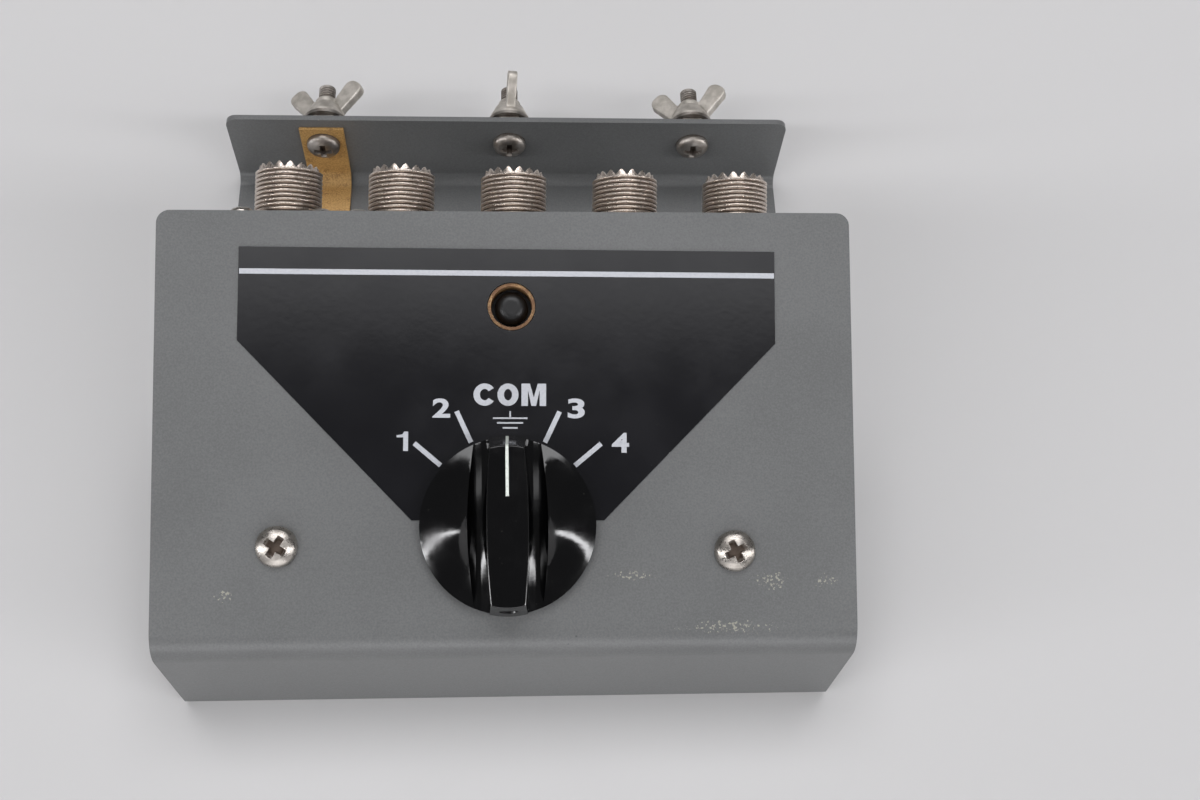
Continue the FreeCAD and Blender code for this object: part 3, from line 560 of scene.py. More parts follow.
def nickel_plate():
    """Dull nickel, speckled, with brown tarnish in the thread's grooves and round the flange."""
    finish, tree, shader, where = new_finish("nickel plate")
    speckle = rise(tree, cloud(tree, where, nickel_grain, 3.0), 0.35, 0.7)
    haze = rise(tree, cloud(tree, where, nickel_haze, 3.0), 0.3, 0.7)
    nickel = lay(tree, speckle, colour(*nickel_clean), colour(*nickel_dull))
    nickel = lay(tree, haze, nickel, colour(*nickel_hazed), most=0.35)
    groove = add(tree, "Attribute", attribute_name="groove").outputs["Fac"]
    patches = cloud(tree, where, tarnish_patch, 3.0)
    tarnish = rise(tree, plus(tree, groove, patches, 0.5), 0.62, 1.15)
    nickel = lay(tree, tarnish, nickel, colour(*tarnish_brown), most=0.92)
    stain = effect(tree, recess_stain, where=where, reach=1.2 * mm, share=0.42)
    nickel = lay(tree, stain, nickel, colour(*grime_brown), most=0.5)
    feed(tree, shader, base_color=nickel, metallic=between(tree, tarnish, 1.0, 0.3),
         roughness=plus(tree, between(tree, speckle, 0.26, 0.42), tarnish, 0.35),
         normal=relief(tree, speckle, nickel_relief))
    return finish


def moulded_insulator():
    finish, tree, shader, where = new_finish("moulded insulator")
    haze = cloud(tree, where, insulator_haze, 3.0)
    feed(tree, shader, base_color=lay(tree, haze, colour(*insulator_cream), colour(*insulator_white)),
         roughness=between(tree, haze, 0.32, 0.48),
         normal=relief(tree, cloud(tree, where, insulator_grain), insulator_relief))
    return finish


socket_names = ("1", "2", "common", "3", "4")
mounts = {mount["name"]: mount for mount in frame["record"]["mounts"]}
socket_out = Vector(mounts["thread_common"]["axis"])
shell_mesh = socket_shell()
nickel = nickel_plate()
for socket in socket_names:
    middle = Vector(mounts["thread_" + socket]["pos_m"])
    place = standing(middle - socket_out * thread_length / 2, socket_out, panel_out)
    show("socket-shell-" + socket, shell_mesh, nickel, "stand", ["socket_shell_" + socket], place)
dress(moulded_insulator(), *("socket_insulator_" + socket for socket in socket_names))
dress(plated_strip, *("socket_contact_" + socket for socket in socket_names))

# ---- Cross recess screws -----------------------------------------------------------------------
# Stainless pan head screws: four small ones in each socket's flange, six in the cover below and
# two large ones that hold the panel to the housing. Brown grime fills their recesses.

number_4 = {"head": 2.78 * mm, "height": 1.9 * mm, "shank": 1.42 * mm}
number_6 = {"head": 3.45 * mm, "height": 2.3 * mm, "shank": 1.75 * mm}
number_10 = {"head": 4.65 * mm, "height": 3.1 * mm, "shank": 2.413 * mm}
cross_reach_share = 0.66
cross_width_share = 0.38
cross_depth_share = 0.7
cross_taper = 0.5
blade_above = 0.2
crown_squareness = 2.1
crown_foot_share = 0.22
crown_edge_share = 0.9
fine_crown_from = 4 * mm
fine_crown_rows, small_crown_rows = 22, 10
shank_tip_share, shank_tip_length = 0.8, 0.4
shank_steps = 24
grime_depth = 0.35 * mm
recess_round = 0.09 * mm
recess_angle = 42.0
screw_sharp = 38.0
left_cross_turn, right_cross_turn = -32.0, 28.0


def worked_out(piece):
    """The mesh that a piece has after its modifiers."""
    bpy.context.view_layer.update()
    return bpy.data.meshes.new_from_object(piece.evaluated_get(bpy.context.evaluated_depsgraph_get()))


def carved(mesh, cutters):
    """The mesh after each cutter is taken out of it, with its new edges slightly rounded."""
    holder = bpy.data.objects.new("carved", mesh)
    bpy.context.scene.collection.objects.link(holder)
    tools = []
    for cutter in cutters:
        tool = bpy.data.objects.new("cutter", cutter)
        bpy.context.scene.collection.objects.link(tool)
        cut = holder.modifiers.new("cut", "BOOLEAN")
        cut.operation = "DIFFERENCE"
        cut.object = tool
        tools.append(tool)
    round_edges(holder, recess_round, angle=recess_angle)
    result = worked_out(holder)
    for helper in tools + [holder]:
        bpy.data.objects.remove(helper)
    return result


def wedge_blade(reach, width, depth, top):
    """One blade of the cross driver, pointing down from above z = top."""
    blade = bmesh.new()
    for share, height in ((1.0, top + depth * blade_above), (cross_taper, top - depth)):
        for x in (-reach, reach):
            for y in (-width / 2, width / 2):
                blade.verts.new((x * share, y * (0.5 + share / 2), height))
    bmesh.ops.convex_hull(blade, input=blade.verts)
    return finished_mesh("blade", blade)


def crown_height(height, share):
    """How high the crown stands, for a share of its rise above the head's upright foot."""
    foot = crown_foot_share * height
    return foot + (height - foot) * share


def crown_rings(radius, height, steps, rows):
    """A pan head: an upright foot, then a crown that turns over to a flat dome."""
    rings = [[Vector((0, 0, 0))], ring(radius, 0, steps), ring(radius, crown_height(height, 0), steps)]
    for step in range(1, rows):
        turn = math.tau / 4 * step / rows
        out = radius * math.cos(turn) ** (2 / crown_squareness)
        rings.append(ring(out, crown_height(height, math.sin(turn) ** (2 / crown_squareness)), steps))
    return rings + [[Vector((0, 0, height))]]


def plain_shank(radius, length):
    """A shank that points down from z = 0, with a bevelled tip."""
    profile = [(shank_tip_share * radius, -length), (radius, shank_tip_length * radius - length), (radius, 0)]
    rings = [ring(out, height, shank_steps) for out, height in profile]
    return skin("shank", [[Vector((0, 0, -length))]] + rings + [[Vector((0, 0, 0))]])


def pan_head_screw(head, height, shank, length, cross_turn=0.0, stud=None):
    """A screw that points down from z = 0, with its head above. A stud is a threaded shank's mesh."""
    rows = fine_crown_rows if head > fine_crown_from else small_crown_rows
    crown = skin("crown", crown_rings(head, height, 4 * rows, rows))
    reach, width = head * cross_reach_share, head * cross_width_share
    blades = []
    for turn in (cross_turn, cross_turn + 90.0):
        blade = wedge_blade(reach, width, height * cross_depth_share, height)
        blade.transform(Matrix.Rotation(math.radians(turn), 4, "Z"))
        blades.append(blade)
    crown = carved(crown, blades)
    pieces = (crown, stud or plain_shank(shank, length))
    screw = joined("screw", [(piece, Matrix()) for piece in pieces], screw_sharp)

    recess = screw.attributes.new("recess", "FLOAT", "POINT")
    turned = screw.attributes.new("turned", "FLOAT", "POINT")
    for vertex, depth, out in zip(screw.vertices, recess.data, turned.data):
        out.value = math.hypot(vertex.co.x, vertex.co.y)
        share = out.value / head
        if vertex.co.z > 0 and share < crown_edge_share:
            surface = crown_height(height, (1 - share ** crown_squareness) ** (1 / crown_squareness))
            depth.value = min(1.0, max(0.0, (surface - vertex.co.z) / grime_depth))
    return screw


def solids_of(node):
    """The corners of each separate solid in a CAD node, from left to right and then front to back."""
    whole = bmesh.new()
    whole.from_mesh(frame["nodes"][node].data)
    bmesh.ops.remove_doubles(whole, verts=whole.verts, dist=same_point)
    left, solids = set(whole.verts), []
    while left:
        waiting, solid = [left.pop()], []
        while waiting:
            corner = waiting.pop()
            solid.append(corner.co.copy())
            following = {edge.other_vert(corner) for edge in corner.link_edges} & left
            left -= following
            waiting += following
        solids.append(solid)
    whole.free()
    return sorted(solids, key=lambda solid: [min(point[axis] for point in solid) for axis in range(3)])


def screw_seats(node, out, up, height):
    """A frame under the head of each screw in a CAD node. Each screw's head is at its end along out."""
    seats = []
    turn = standing(Vector((0, 0, 0)), out, up)
    for solid in solids_of(node):
        local = [turn.inverted() @ point for point in solid]
        low = Vector(min(point[axis] for point in local) for axis in range(3))
        high = Vector(max(point[axis] for point in local) for axis in range(3))
        middle = (low + high) / 2
        seats.append(Matrix.Translation(turn @ Vector((middle.x, middle.y, high.z - height))) @ turn)
    return seats


def screw_lengths(node, out, height):
    """The length of each screw under its head, in the same order as the seats."""
    reaches = [[point.dot(out) for point in solid] for solid in solids_of(node)]
    return [max(reach) - min(reach) - height for reach in reaches]


def set_of_screws(name, node, out, up, size, finish, cross_turn=0.0):
    length = screw_lengths(node, out, size["height"])[0]
    screw = pan_head_screw(**size, length=length, cross_turn=cross_turn)
    seats = screw_seats(node, out, up, size["height"])
    show(name, joined(name, [(screw, seat) for seat in seats], screw_sharp), finish, "stand", [node])


stainless = bare_metal(
    "stainless steel", clean=(196, 190, 183), dull=(168, 162, 155), stained=(74, 56, 42), gloss=0.22,
    stretch=(500, 900, 500), stain_share=0.46, stain_reach=1.6 * mm, lathe_depth=0.035 * mm)
set_of_screws("socket-screws", "socket_screws", socket_out, panel_out, number_4, stainless,
              cross_turn=20.0)
set_of_screws("cover-screws", "cover_screws", -panel_out, socket_out, number_6, stainless,
              cross_turn=15.0)

panel_seats = screw_seats("panel_screws", panel_out, socket_out, number_10["height"])
panel_lengths = screw_lengths("panel_screws", panel_out, number_10["height"])
cross_turns = (left_cross_turn, right_cross_turn)
panel_screws = [(pan_head_screw(**number_10, length=length, cross_turn=turn), seat)
                for length, turn, seat in zip(panel_lengths, cross_turns, panel_seats)]
show("panel-screws", joined("panel screws", panel_screws, screw_sharp), stainless, "stand",
     ["panel_screws"])

# ---- Surge plug --------------------------------------------------------------------------------
# A brass sleeve through the panel holds a plug with a black moulded grip. Rust and dirt have
# browned the sleeve's mouth. Below it are the ceramic tube and its two plated ends.

sleeve_bright, sleeve_dull, rust_brown = (178, 146, 104), (146, 110, 74), (112, 78, 50)
brass_patch = 2.6 * mm
brass_grain = 0.4 * mm
brass_relief = 0.02 * mm
grip_black = (14, 14, 15)
grip_scuffed = (90, 88, 84)
moulding_haze = 6 * mm
moulding_speck = 0.5 * mm
moulding_ripple = 0.9 * mm
moulding_relief = 0.004 * mm
# Reach and fade of the pale edges: wear on the grip, and on the knob's top edges partly wear and partly a painted
# highlight.
wear_and_highlight_reach = 0.28 * mm
wear_and_highlight_fade = 0.4 * mm
ceramic_white = (240, 238, 230)
ceramic_cream = (226, 222, 210)
ceramic_haze = 2 * mm


def browned_brass(name, bright, dull, brown, share, shine=1.0):
    """Brass gone brown in patches, dull where it has."""
    finish, tree, shader, where = new_finish(name)
    patches = cloud(tree, where, brass_patch, 5.0)
    fine = cloud(tree, where, brass_grain, 3.0)
    mottle = plus(tree, calculate(tree, "MULTIPLY", patches, 0.65), fine, 0.35)
    tarnish = rise(tree, mottle, 0.62 - 0.3 * share, 0.82 - 0.3 * share)
    brass = lay(tree, rise(tree, fine, 0.35, 0.7), colour(*bright), colour(*dull))
    feed(tree, shader, base_color=lay(tree, tarnish, brass, colour(*brown)),
         metallic=between(tree, tarnish, shine, 0.25 * shine), roughness=between(tree, mottle, 0.3, 0.62),
         normal=relief(tree, fine, brass_relief))
    return finish


def black_moulding(name, tint, gloss, wear_and_highlight_tint, wear_and_highlight_share, highlight_and_wear_above=None):
    """Black plastic with wiping marks, dust specks and pale edges. The pale edges are wear; when a height is
    given, only edges above it are pale, and there the unbroken pale line is partly wear and partly a painted edge
    highlight.
    """
    finish, tree, shader, where = new_finish(name)
    haze = rise(tree, cloud(tree, where, moulding_haze, 4.0), 0.35, 0.75)
    specks = rise(tree, cloud(tree, where, moulding_speck, 2.0), 0.74, 0.8)
    # Pale edges: wear; above the given height, as on the knob's bar, the line is also a painted highlight on the
    # rounded top edges.
    worn = effect(tree, edge_wear, where=where, reach=wear_and_highlight_reach, share=wear_and_highlight_share)
    if highlight_and_wear_above:
        height = add(tree, "VectorMath", {0: where, 1: panel_out}, operation="DOT_PRODUCT").outputs["Value"]
        lowest = shaft_foot.dot(panel_out) + highlight_and_wear_above
        worn = calculate(tree, "MULTIPLY", worn, rise(tree, height, lowest, lowest + wear_and_highlight_fade))
    worn = calculate(tree, "MULTIPLY", worn, 0.6)
    marks = calculate(tree, "MAXIMUM", calculate(tree, "MULTIPLY", specks, 0.25), worn)
    feed(tree, shader, base_color=lay(tree, marks, colour(*tint), colour(*wear_and_highlight_tint)),
         roughness=plus(tree, between(tree, haze, gloss, gloss + 0.1), marks, 0.4),
         normal=relief(tree, cloud(tree, where, moulding_ripple), moulding_relief))
    return finish


def glazed_ceramic():
    finish, tree, shader, where = new_finish("glazed ceramic")
    haze = cloud(tree, where, ceramic_haze, 3.0)
    feed(tree, shader, base_color=lay(tree, haze, colour(*ceramic_cream), colour(*ceramic_white)),
         roughness=between(tree, haze, 0.12, 0.24))
    return finish


dress(browned_brass("browned sleeve", sleeve_bright, sleeve_dull, rust_brown, share=0.8, shine=0.4),
      "surge_sleeve")
dress(black_moulding("grip moulding", grip_black, gloss=0.4, wear_and_highlight_tint=grip_scuffed, wear_and_highlight_share=0.2),
      "surge_cap")
dress(glazed_ceramic(), "surge_tube")
dress(plated_strip, "surge_electrodes")

# ---- Front label -------------------------------------------------------------------------------
# A thin black plastic plate, glued to the panel, with its lower corners cut off. It carries a
# pale stripe, the numbers round the knob, COM and the earth sign, printed in pale ink.

label_top = 0.25 * mm
label_turn = 0.4
film_black = (19, 19, 22)
film_chipped = (168, 168, 162)
film_haze = 14 * mm
film_dust = 0.45 * mm
film_ripple = 1.6 * mm
film_relief = 0.006 * mm
dust_gray = (150, 150, 150)
ink_pale = (188, 190, 195)
ink_thin = (176, 179, 186)
ink_patch = 0.5 * mm
ink_lift = 0.02 * mm
ink_thickness = 0.02 * mm
stripe = {"low": 56.87 * mm, "high": 58.09 * mm, "left": -61.0 * mm, "right": 61.1 * mm}
dial_middle = Vector((-0.1 * mm, 0.84 * mm))
dial_inner, dial_outer, dial_line = 19.8 * mm, 27.6 * mm, 1.1 * mm
dial_angles = (-50.0, -25.0, 25.0, 50.0)
# Each word's left, right, bottom and top, from the shaft, in millimetres
words = {
    "1": (-25.2, -22.6, 16.8, 21.2),
    "2": (-17.2, -13.2, 24.35, 28.75),
    "3": (13.4, 17.3, 24.3, 28.85),
    "4": (23.45, 27.4, 16.5, 21.05),
    "COM": (-8.0, 8.5, 27.1, 32.2),
}
# The earth sign: a stem, then three bars given as half length and height
earth_middle = 0.35 * mm
earth_line = 0.36 * mm
earth_stem = (24.3 * mm, 25.9 * mm)
earth_bars = [(3.9 * mm, 24.3 * mm), (2.95 * mm, 23.23 * mm), (1.7 * mm, 22.1 * mm)]


def bar(start, end, width):
    """A straight printed line between two points, as a flat outline."""
    start, end = Vector(start), Vector(end)
    along = (end - start).normalized()
    aside = Vector((-along.y, along.x)) * width / 2
    return [start - aside, end - aside, end + aside, start + aside]


def printed(name, outlines):
    """Ink of real thickness within each flat outline."""
    ink = bmesh.new()
    for outline in outlines:
        foot, top = ([ink.verts.new((x, y, z)) for x, y in outline] for z in (0, ink_thickness))
        ink.faces.new(foot)
        ink.faces.new(top)
        for corner in range(len(outline)):
            ink.faces.new([foot[corner - 1], foot[corner], top[corner], top[corner - 1]])
    bmesh.ops.recalc_face_normals(ink, faces=ink.faces)
    return finished_mesh(name, ink)


def arched(middle, reach, stroke, start, end, steps=20):
    """Part of an upright oval ring, between two angles in degrees, as a flat outline."""
    turns = [math.radians(start + (end - start) * step / steps) for step in range(steps + 1)]

    def oval(across, up, turns):
        return [(middle[0] + across * math.cos(turn), middle[1] + up * math.sin(turn)) for turn in turns]

    return oval(*reach, turns) + oval(reach[0] - stroke, reach[1] - 0.85 * stroke, reversed(turns))


def word_com(left, right, low, high):
    """COM in bold block letters: each letter's outlines, in the box."""
    width, height = right - left, high - low
    stroke = 0.29 * height
    level, half = (low + high) / 2, height / 2
    c_middle, c_reach = (left + 0.155 * width, level), (0.155 * width, half)
    o_middle, o_reach = (left + 0.475 * width, level), (0.145 * width, half)
    start, middle = left + 0.66 * width, left + 0.83 * width
    notch, foot = 1.3 * stroke, 0.36 * stroke
    letter_m = [(start, low), (start, high), (start + notch, high), (middle, low + 0.38 * height),
                (right - notch, high), (right, high), (right, low), (right - stroke, low),
                (right - stroke, high - 0.3 * height), (middle + foot, low), (middle - foot, low),
                (start + stroke, high - 0.3 * height), (start + stroke, low)]
    return [arched(c_middle, c_reach, stroke, 36, 324), arched(o_middle, o_reach, stroke, 90, 270),
            arched(o_middle, o_reach, stroke, 270, 450), letter_m]


def figure_one(left, right, low, high):
    """A bold 1: an upright stem with a short flag, in the box."""
    width, height = right - left, high - low
    stem = right - 0.42 * width
    notch = high - 0.3 * height
    return [[(stem, low), (right, low), (right, high), (right - 0.34 * width, high),
             (right - 0.5 * width, high - 0.14 * height), (left, high - 0.19 * height), (left, notch),
             (stem, notch)]]


def lettered(text, left, right, low, high):
    """Bold plain letters that fill the box, in metres."""
    words_curve = bpy.data.curves.new(text, "FONT")
    words_curve.body = text
    words_curve.size = high - low
    words_curve.offset = 0.03 * (high - low)
    words_curve.extrude = ink_thickness / 2
    holder = bpy.data.objects.new(text, words_curve)
    mesh = bpy.data.meshes.new_from_object(holder)
    bpy.data.objects.remove(holder)
    xs = [vertex.co.x for vertex in mesh.vertices]
    ys = [vertex.co.y for vertex in mesh.vertices]
    wider, taller = (right - left) / (max(xs) - min(xs)), (high - low) / (max(ys) - min(ys))
    to_corner = Matrix.Translation((-min(xs), -min(ys), ink_thickness / 2))
    mesh.transform(Matrix.Translation((left, low, 0)) @ Matrix.Diagonal((wider, taller, 1, 1)) @ to_corner)
    return mesh


def black_film():
    """Smooth black film, faintly wiped, with its cut edges chipped to the pale core."""
    finish, tree, shader, where = new_finish("black label film")
    haze = rise(tree, cloud(tree, where, film_haze, 4.0), 0.3, 0.75)
    dust = rise(tree, cloud(tree, where, film_dust, 2.0), 0.76, 0.82)
    worn = effect(tree, edge_wear, where=where, reach=0.3 * mm, share=0.12)
    film = lay(tree, haze, colour(*film_black), tinted(film_black, 1.15))
    film = lay(tree, dust, film, colour(*dust_gray), most=0.12)
    film = lay(tree, worn, film, colour(*film_chipped))
    feed(tree, shader, base_color=film, roughness=between(tree, haze, 0.12, 0.18),
         normal=relief(tree, cloud(tree, where, film_ripple), film_relief))
    return finish


def pale_ink():
    """Screen ink, slightly uneven."""
    finish, tree, shader, where = new_finish("pale ink")
    uneven = cloud(tree, where, ink_patch, 3.0)
    thin = rise(tree, uneven, 0.4, 0.75)
    feed(tree, shader, base_color=lay(tree, thin, colour(*ink_pale), colour(*ink_thin)),
         roughness=between(tree, uneven, 0.42, 0.6))
    return finish


label_frame = panel_frame @ Matrix.Rotation(math.radians(-label_turn), 4, "Z")
ink_place = label_frame @ Matrix.Translation((0, 0, label_top + ink_lift))
ink = pale_ink()
dress(black_film(), "front_label")

stripe_outline = [(stripe["left"], stripe["low"]), (stripe["right"], stripe["low"]),
                  (stripe["right"], stripe["high"]), (stripe["left"], stripe["high"])]
show("label-stripe", printed("stripe", [stripe_outline]), ink, "stand", place=ink_place)

dial_lines = []
for angle in dial_angles:
    away = Vector((math.sin(math.radians(angle)), math.cos(math.radians(angle))))
    dial_lines.append(bar(dial_middle + away * dial_inner, dial_middle + away * dial_outer, dial_line))
show("label-dial-lines", printed("dial lines", dial_lines), ink, "stand", place=ink_place)

earth_lines = [bar((earth_middle, earth_stem[0]), (earth_middle, earth_stem[1]), earth_line)]
earth_lines += [bar((earth_middle - half, up), (earth_middle + half, up), earth_line)
                for half, up in earth_bars]
show("label-earth-sign", printed("earth sign", earth_lines), ink, "stand", place=ink_place)

drawn = {"1": figure_one, "COM": word_com}
for text, box in words.items():
    sides = [side * mm for side in box]
    word = printed(text, drawn[text](*sides)) if text in drawn else lettered(text, *sides)
    show("label-" + text, word, ink, "stand", place=ink_place)

# ---- Selector knob -----------------------------------------------------------------------------
# A glossy black thermoset moulding, pushed on the shaft and held by a set screw. A white line
# is filled in along its bar, from the pointing end to past the middle.

knob_black = (7, 7, 8)
# The pale colour along the bar's top edges is partly wear and partly a painted highlight on those rounded edges.
knob_wear_and_edge_highlight = (128, 126, 116)
wear_and_highlight_above = 12.0 * mm
pointer_white = (226, 231, 224)
pointer_soiled = (196, 202, 194)
pointer_patch = 0.6 * mm
pointer_width = 0.7 * mm
pointer_inner, pointer_outer = 6.5 * mm, 20.0 * mm
pointer_foot = 1.6 * mm
pointer_depth = 0.03 * mm
pointer_thickness = 1.5 * pointer_depth
pointer_steps = 12
above_bar, beyond_bar = 16.0 * mm, 1.0 * mm
knob_turn = 1.4
knob_round = 0.3 * mm


def pointer_line(knob):
    """A narrow strip down the bar's end and along its top, drawn on to the knob's surface."""
    shares = [step / pointer_steps for step in range(pointer_steps + 1)]
    climb, run = above_bar - pointer_foot, pointer_inner - pointer_outer
    path = [(pointer_outer + beyond_bar, pointer_foot + climb * share) for share in shares]
    path += [(pointer_outer + run * share, above_bar) for share in shares]
    strip = bmesh.new()
    rows = [[strip.verts.new((side * pointer_width / 2, y, z)) for side in (-1, 1)] for y, z in path]
    for row, following in zip(rows, rows[1:]):
        strip.faces.new([row[0], row[1], following[1], following[0]])
    holder = bpy.data.objects.new("pointer", finished_mesh("pointer line", strip))
    bpy.context.scene.collection.objects.link(holder)
    holder.matrix_world = switch_frame
    wrap = holder.modifiers.new("on the knob", "SHRINKWRAP")
    wrap.target = knob
    wrap.wrap_mode = "ABOVE_SURFACE"
    wrap.offset = pointer_depth
    fill = holder.modifiers.new("thickness", "SOLIDIFY")
    fill.thickness = pointer_thickness
    fill.offset = 0.0
    line = worked_out(holder)
    bpy.data.objects.remove(holder)
    return line


def white_fill():
    finish, tree, shader, where = new_finish("white fill")
    uneven = cloud(tree, where, pointer_patch, 3.0)
    soiled = rise(tree, uneven, 0.45, 0.8)
    feed(tree, shader, base_color=lay(tree, soiled, colour(*pointer_white), colour(*pointer_soiled)),
         roughness=between(tree, uneven, 0.4, 0.55))
    return finish


switch_frame = standing(shaft_foot, panel_out, socket_out) @ Matrix.Rotation(math.radians(knob_turn), 4, "Z")
knob = frame["nodes"]["selector_knob"]
# An unbroken pale line along the bar's top edges: partly wear, partly a painted highlight.
dress(black_moulding("knob moulding with wear and painted edge highlight", knob_black, gloss=0.07, wear_and_highlight_tint=knob_wear_and_edge_highlight, wear_and_highlight_share=1.3,
                     highlight_and_wear_above=wear_and_highlight_above), "selector_knob")
round_edges(knob, knob_round, segments=4)
show("knob-pointer-line", pointer_line(knob), white_fill(), "selector", place=switch_frame)

# ---- Ground bolts and wing nuts ----------------------------------------------------------------
# Three 10-32 pan head bolts stand through the rear flange, each locked by a split washer and a hex
# nut. A plain washer and a cast wing nut clamp a ground wire on each.

bolt_pitch = 25.4 / 32 * mm
bolt_thread_depth = 0.42 * mm
bolt_tip = 1.2 * mm
bolt_tip_steps = 6
bolt_steps = 40
bolt_sharp = 50.0
casting_grain = 0.22 * mm
casting_softening = 6
nut_round = 0.2 * mm
zinc_pale, zinc_dull = (208, 202, 194), (172, 166, 157)
zinc_stained = (116, 90, 58)
zinc_worn = (226, 222, 214)
zinc_pit = 0.6 * mm
zinc_haze = 3 * mm
zinc_relief = 0.05 * mm


def stud(radius, length):
    """A threaded shank that points down from z = 0, with a rounded tip."""
    rings = [[Vector((0, 0, -length))]]
    for step in range(1, bolt_tip_steps):
        turn = math.tau / 4 * step / bolt_tip_steps
        out = (radius - bolt_thread_depth) * math.sin(turn)
        rings.append(ring(out, -length + bolt_tip * (1 - math.cos(turn)), bolt_steps))
    rings += thread_rings(radius, bolt_pitch, bolt_thread_depth, -length + bolt_tip, 0, bolt_steps)
    return skin("stud", rings + [[Vector((0, 0, 0))]], sharp=bolt_sharp)


def cast_zinc():
    """Cast alloy under worn plating: soft, pale and pitted."""
    finish, tree, shader, where = new_finish("cast zinc")
    pits = cloud(tree, where, zinc_pit, 4.0)
    haze = rise(tree, cloud(tree, where, zinc_haze, 3.0), 0.3, 0.7)
    metal = lay(tree, haze, colour(*zinc_pale), colour(*zinc_dull))
    stain = effect(tree, recess_stain, where=where, reach=1.5 * mm, share=0.42)
    metal = lay(tree, stain, metal, colour(*zinc_stained), most=0.8)
    worn = effect(tree, edge_wear, where=where, reach=0.5 * mm, share=0.8)
    metal = lay(tree, worn, metal, colour(*zinc_worn), most=0.5)
    feed(tree, shader, base_color=metal, metallic=between(tree, stain, 0.6, 0.3),
         roughness=between(tree, pits, 0.34, 0.6), normal=relief(tree, pits, zinc_relief))
    return finish


tarnished_steel = bare_metal(
    "tarnished steel", clean=(172, 166, 160), dull=(132, 124, 116), stained=(62, 50, 40), gloss=0.34,
    stretch=(500, 900, 500), stain_share=0.56, stain_reach=1.6 * mm)

backwards = Vector((0, -1, 0))
upwards = Vector((0, 0, 1))
bolt_lengths = screw_lengths("ground_bolts", backwards, number_10["height"])
bolt_seats = screw_seats("ground_bolts", backwards, upwards, number_10["height"])
bolts = [(pan_head_screw(**number_10, length=length, stud=stud(number_10["shank"], length)), seat)
         for length, seat in zip(bolt_lengths, bolt_seats)]
show("ground-bolts", joined("ground bolts", bolts, screw_sharp), tarnished_steel, "stand",
     ["ground_bolts"])

dress(tarnished_steel, "lock_washers", "hex_nuts", "wing_washer_1", "wing_washer_2", "wing_washer_3")
for name in ("hex_nuts", "lock_washers"):
    round_edges(frame["nodes"][name], nut_round)

zinc = cast_zinc()
for number in (1, 2, 3):
    name = f"wing_nut_{number}"
    dress(zinc, name)
    casting = frame["nodes"][name].modifiers.new("casting", "REMESH")
    casting.mode = "VOXEL"
    casting.voxel_size = casting_grain
    casting.use_smooth_shade = True
    softened = frame["nodes"][name].modifiers.new("soft edges", "SMOOTH")
    softened.iterations = casting_softening

# ---- Ground strap ------------------------------------------------------------------------------
# A brass strip from the left ground bolt, down the flange, along the base and up to a screw in the
# housing's cover. Age has turned it orange brown.

strap_round = 0.2 * mm
strap_bright, strap_dull, strap_brown = (194, 155, 96), (164, 127, 76), (128, 92, 52)

dress(browned_brass("aged strap", strap_bright, strap_dull, strap_brown, share=0.35, shine=0.2),
      "ground_strap")
round_edges(frame["nodes"]["ground_strap"], strap_round)

# ---- Table, light and camera -------------------------------------------------------------------
# A plain pale table in a dim room with pale walls. Soft windows light it from above, from behind,
# from both sides and from low in front.

table_pale = (205, 204, 204)
table_side = 6.0
table_drift = 0.5
wall_pale = (250, 250, 252)
wall_light = 0.115
# Each light is a window in the room, the same on the left and the right. Its extent across the panel
# and up along it, its soft edge and its climb to the sides are shares of a unit direction. Its light
# is added to the wall's.
windows = {
    "ceiling": {"across": (-0.45, 0.45), "along": (0.14, 0.27), "soft": 0.03, "climb": 0.0, "light": 1.65},
    "back": {"across": (-0.37, 0.37), "along": (0.43, 0.74), "soft": 0.03, "climb": 0.0, "light": 5.0},
    "sides": {"across": (0.3, 0.99), "along": (-0.32, -0.25), "soft": 0.02, "climb": 0.16, "light": 17.5},
    "low front": {"across": (-0.8, 0.8), "along": (-0.98, -0.78), "soft": 0.05, "climb": 0.0, "light": 4.0},
}


def table_top():
    finish, tree, shader, where = new_finish("pale table")
    drift = cloud(tree, where, table_drift, 2.0)
    feed(tree, shader, base_color=lay(tree, drift, colour(*table_pale), tinted(table_pale, 0.985)),
         roughness=between(tree, drift, 0.6, 0.7))
    return finish


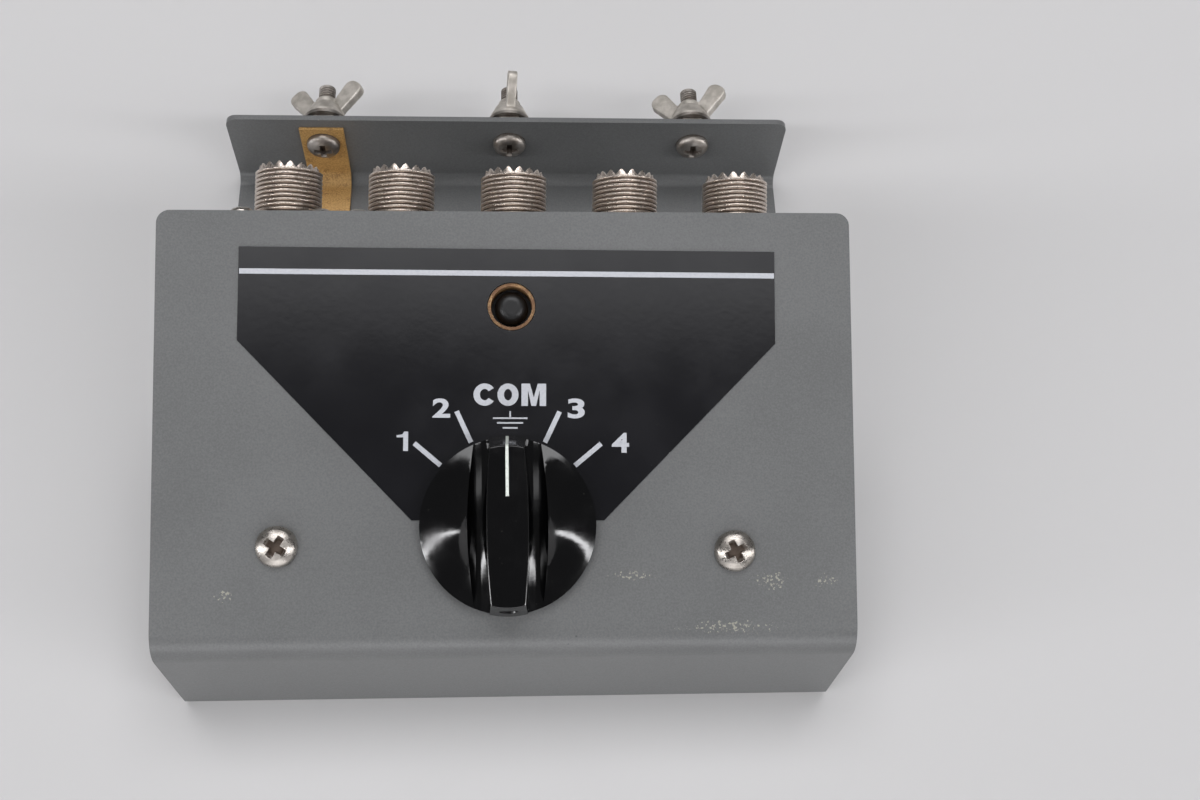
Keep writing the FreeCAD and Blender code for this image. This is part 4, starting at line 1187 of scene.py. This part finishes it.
half = table_side / 2
corners = [(-half, -half, 0), (half, -half, 0), (half, half, 0), (-half, half, 0)]
table = bmesh.new()
table.faces.new([table.verts.new(corner) for corner in corners])
table_piece = bpy.data.objects.new("table", finished_mesh("table", table))
table_piece.data.materials.append(table_top())
bpy.context.scene.collection.objects.link(table_piece)


def within(tree, value, low, high, soft):
    """1 between low and high, falling to 0 outside."""
    inside = calculate(tree, "SUBTRACT", 1.0, rise(tree, value, high - soft, high + soft))
    return calculate(tree, "MULTIPLY", rise(tree, value, low - soft, low + soft), inside)


def dim_room():
    """A dim room with soft windows in it, the same on the left and the right."""
    room = bpy.data.worlds.new("room")
    room.use_nodes = True
    tree = room.node_tree
    way = add(tree, "TexCoord").outputs["Generated"]
    across = calculate(tree, "ABSOLUTE", add(tree, "SeparateXYZ", {0: way}).outputs["X"])
    along = add(tree, "VectorMath", {0: way, 1: socket_out}, operation="DOT_PRODUCT").outputs["Value"]
    light = wall_light
    for window in windows.values():
        soft = window["soft"]
        level = calculate(tree, "SUBTRACT", along, calculate(tree, "MULTIPLY", across, window["climb"]))
        share = calculate(tree, "MULTIPLY", within(tree, across, *window["across"], soft),
                          within(tree, level, *window["along"], soft))
        light = plus(tree, light, share, window["light"])
    background = tree.nodes["Background"]
    background.inputs["Color"].default_value = colour(*wall_pale)
    tree.links.new(light, background.inputs["Strength"])
    return room


bpy.context.scene.world = dim_room()

camera_place = (0.00234, -0.17188, 0.34513)
camera_heading, camera_tilt, camera_roll = -7.3492, 90 - 62.7882, 6.3886
picture_width = 1200
focal_pixels = 1397.16

lens = bpy.data.cameras.new("camera")
lens.sensor_width = 36.0
lens.lens = focal_pixels / picture_width * lens.sensor_width
lens.clip_start = 0.01
camera = bpy.data.objects.new("camera", lens)
heading, tilt, roll = (Matrix.Rotation(math.radians(angle), 4, axis) for angle, axis in (
    (camera_heading, "Z"), (camera_tilt, "X"), (camera_roll, "Z")))
camera.matrix_world = Matrix.Translation(camera_place) @ heading @ tilt @ roll
bpy.context.scene.collection.objects.link(camera)
bpy.context.scene.camera = camera
bpy.context.scene.view_settings.view_transform = "Standard"
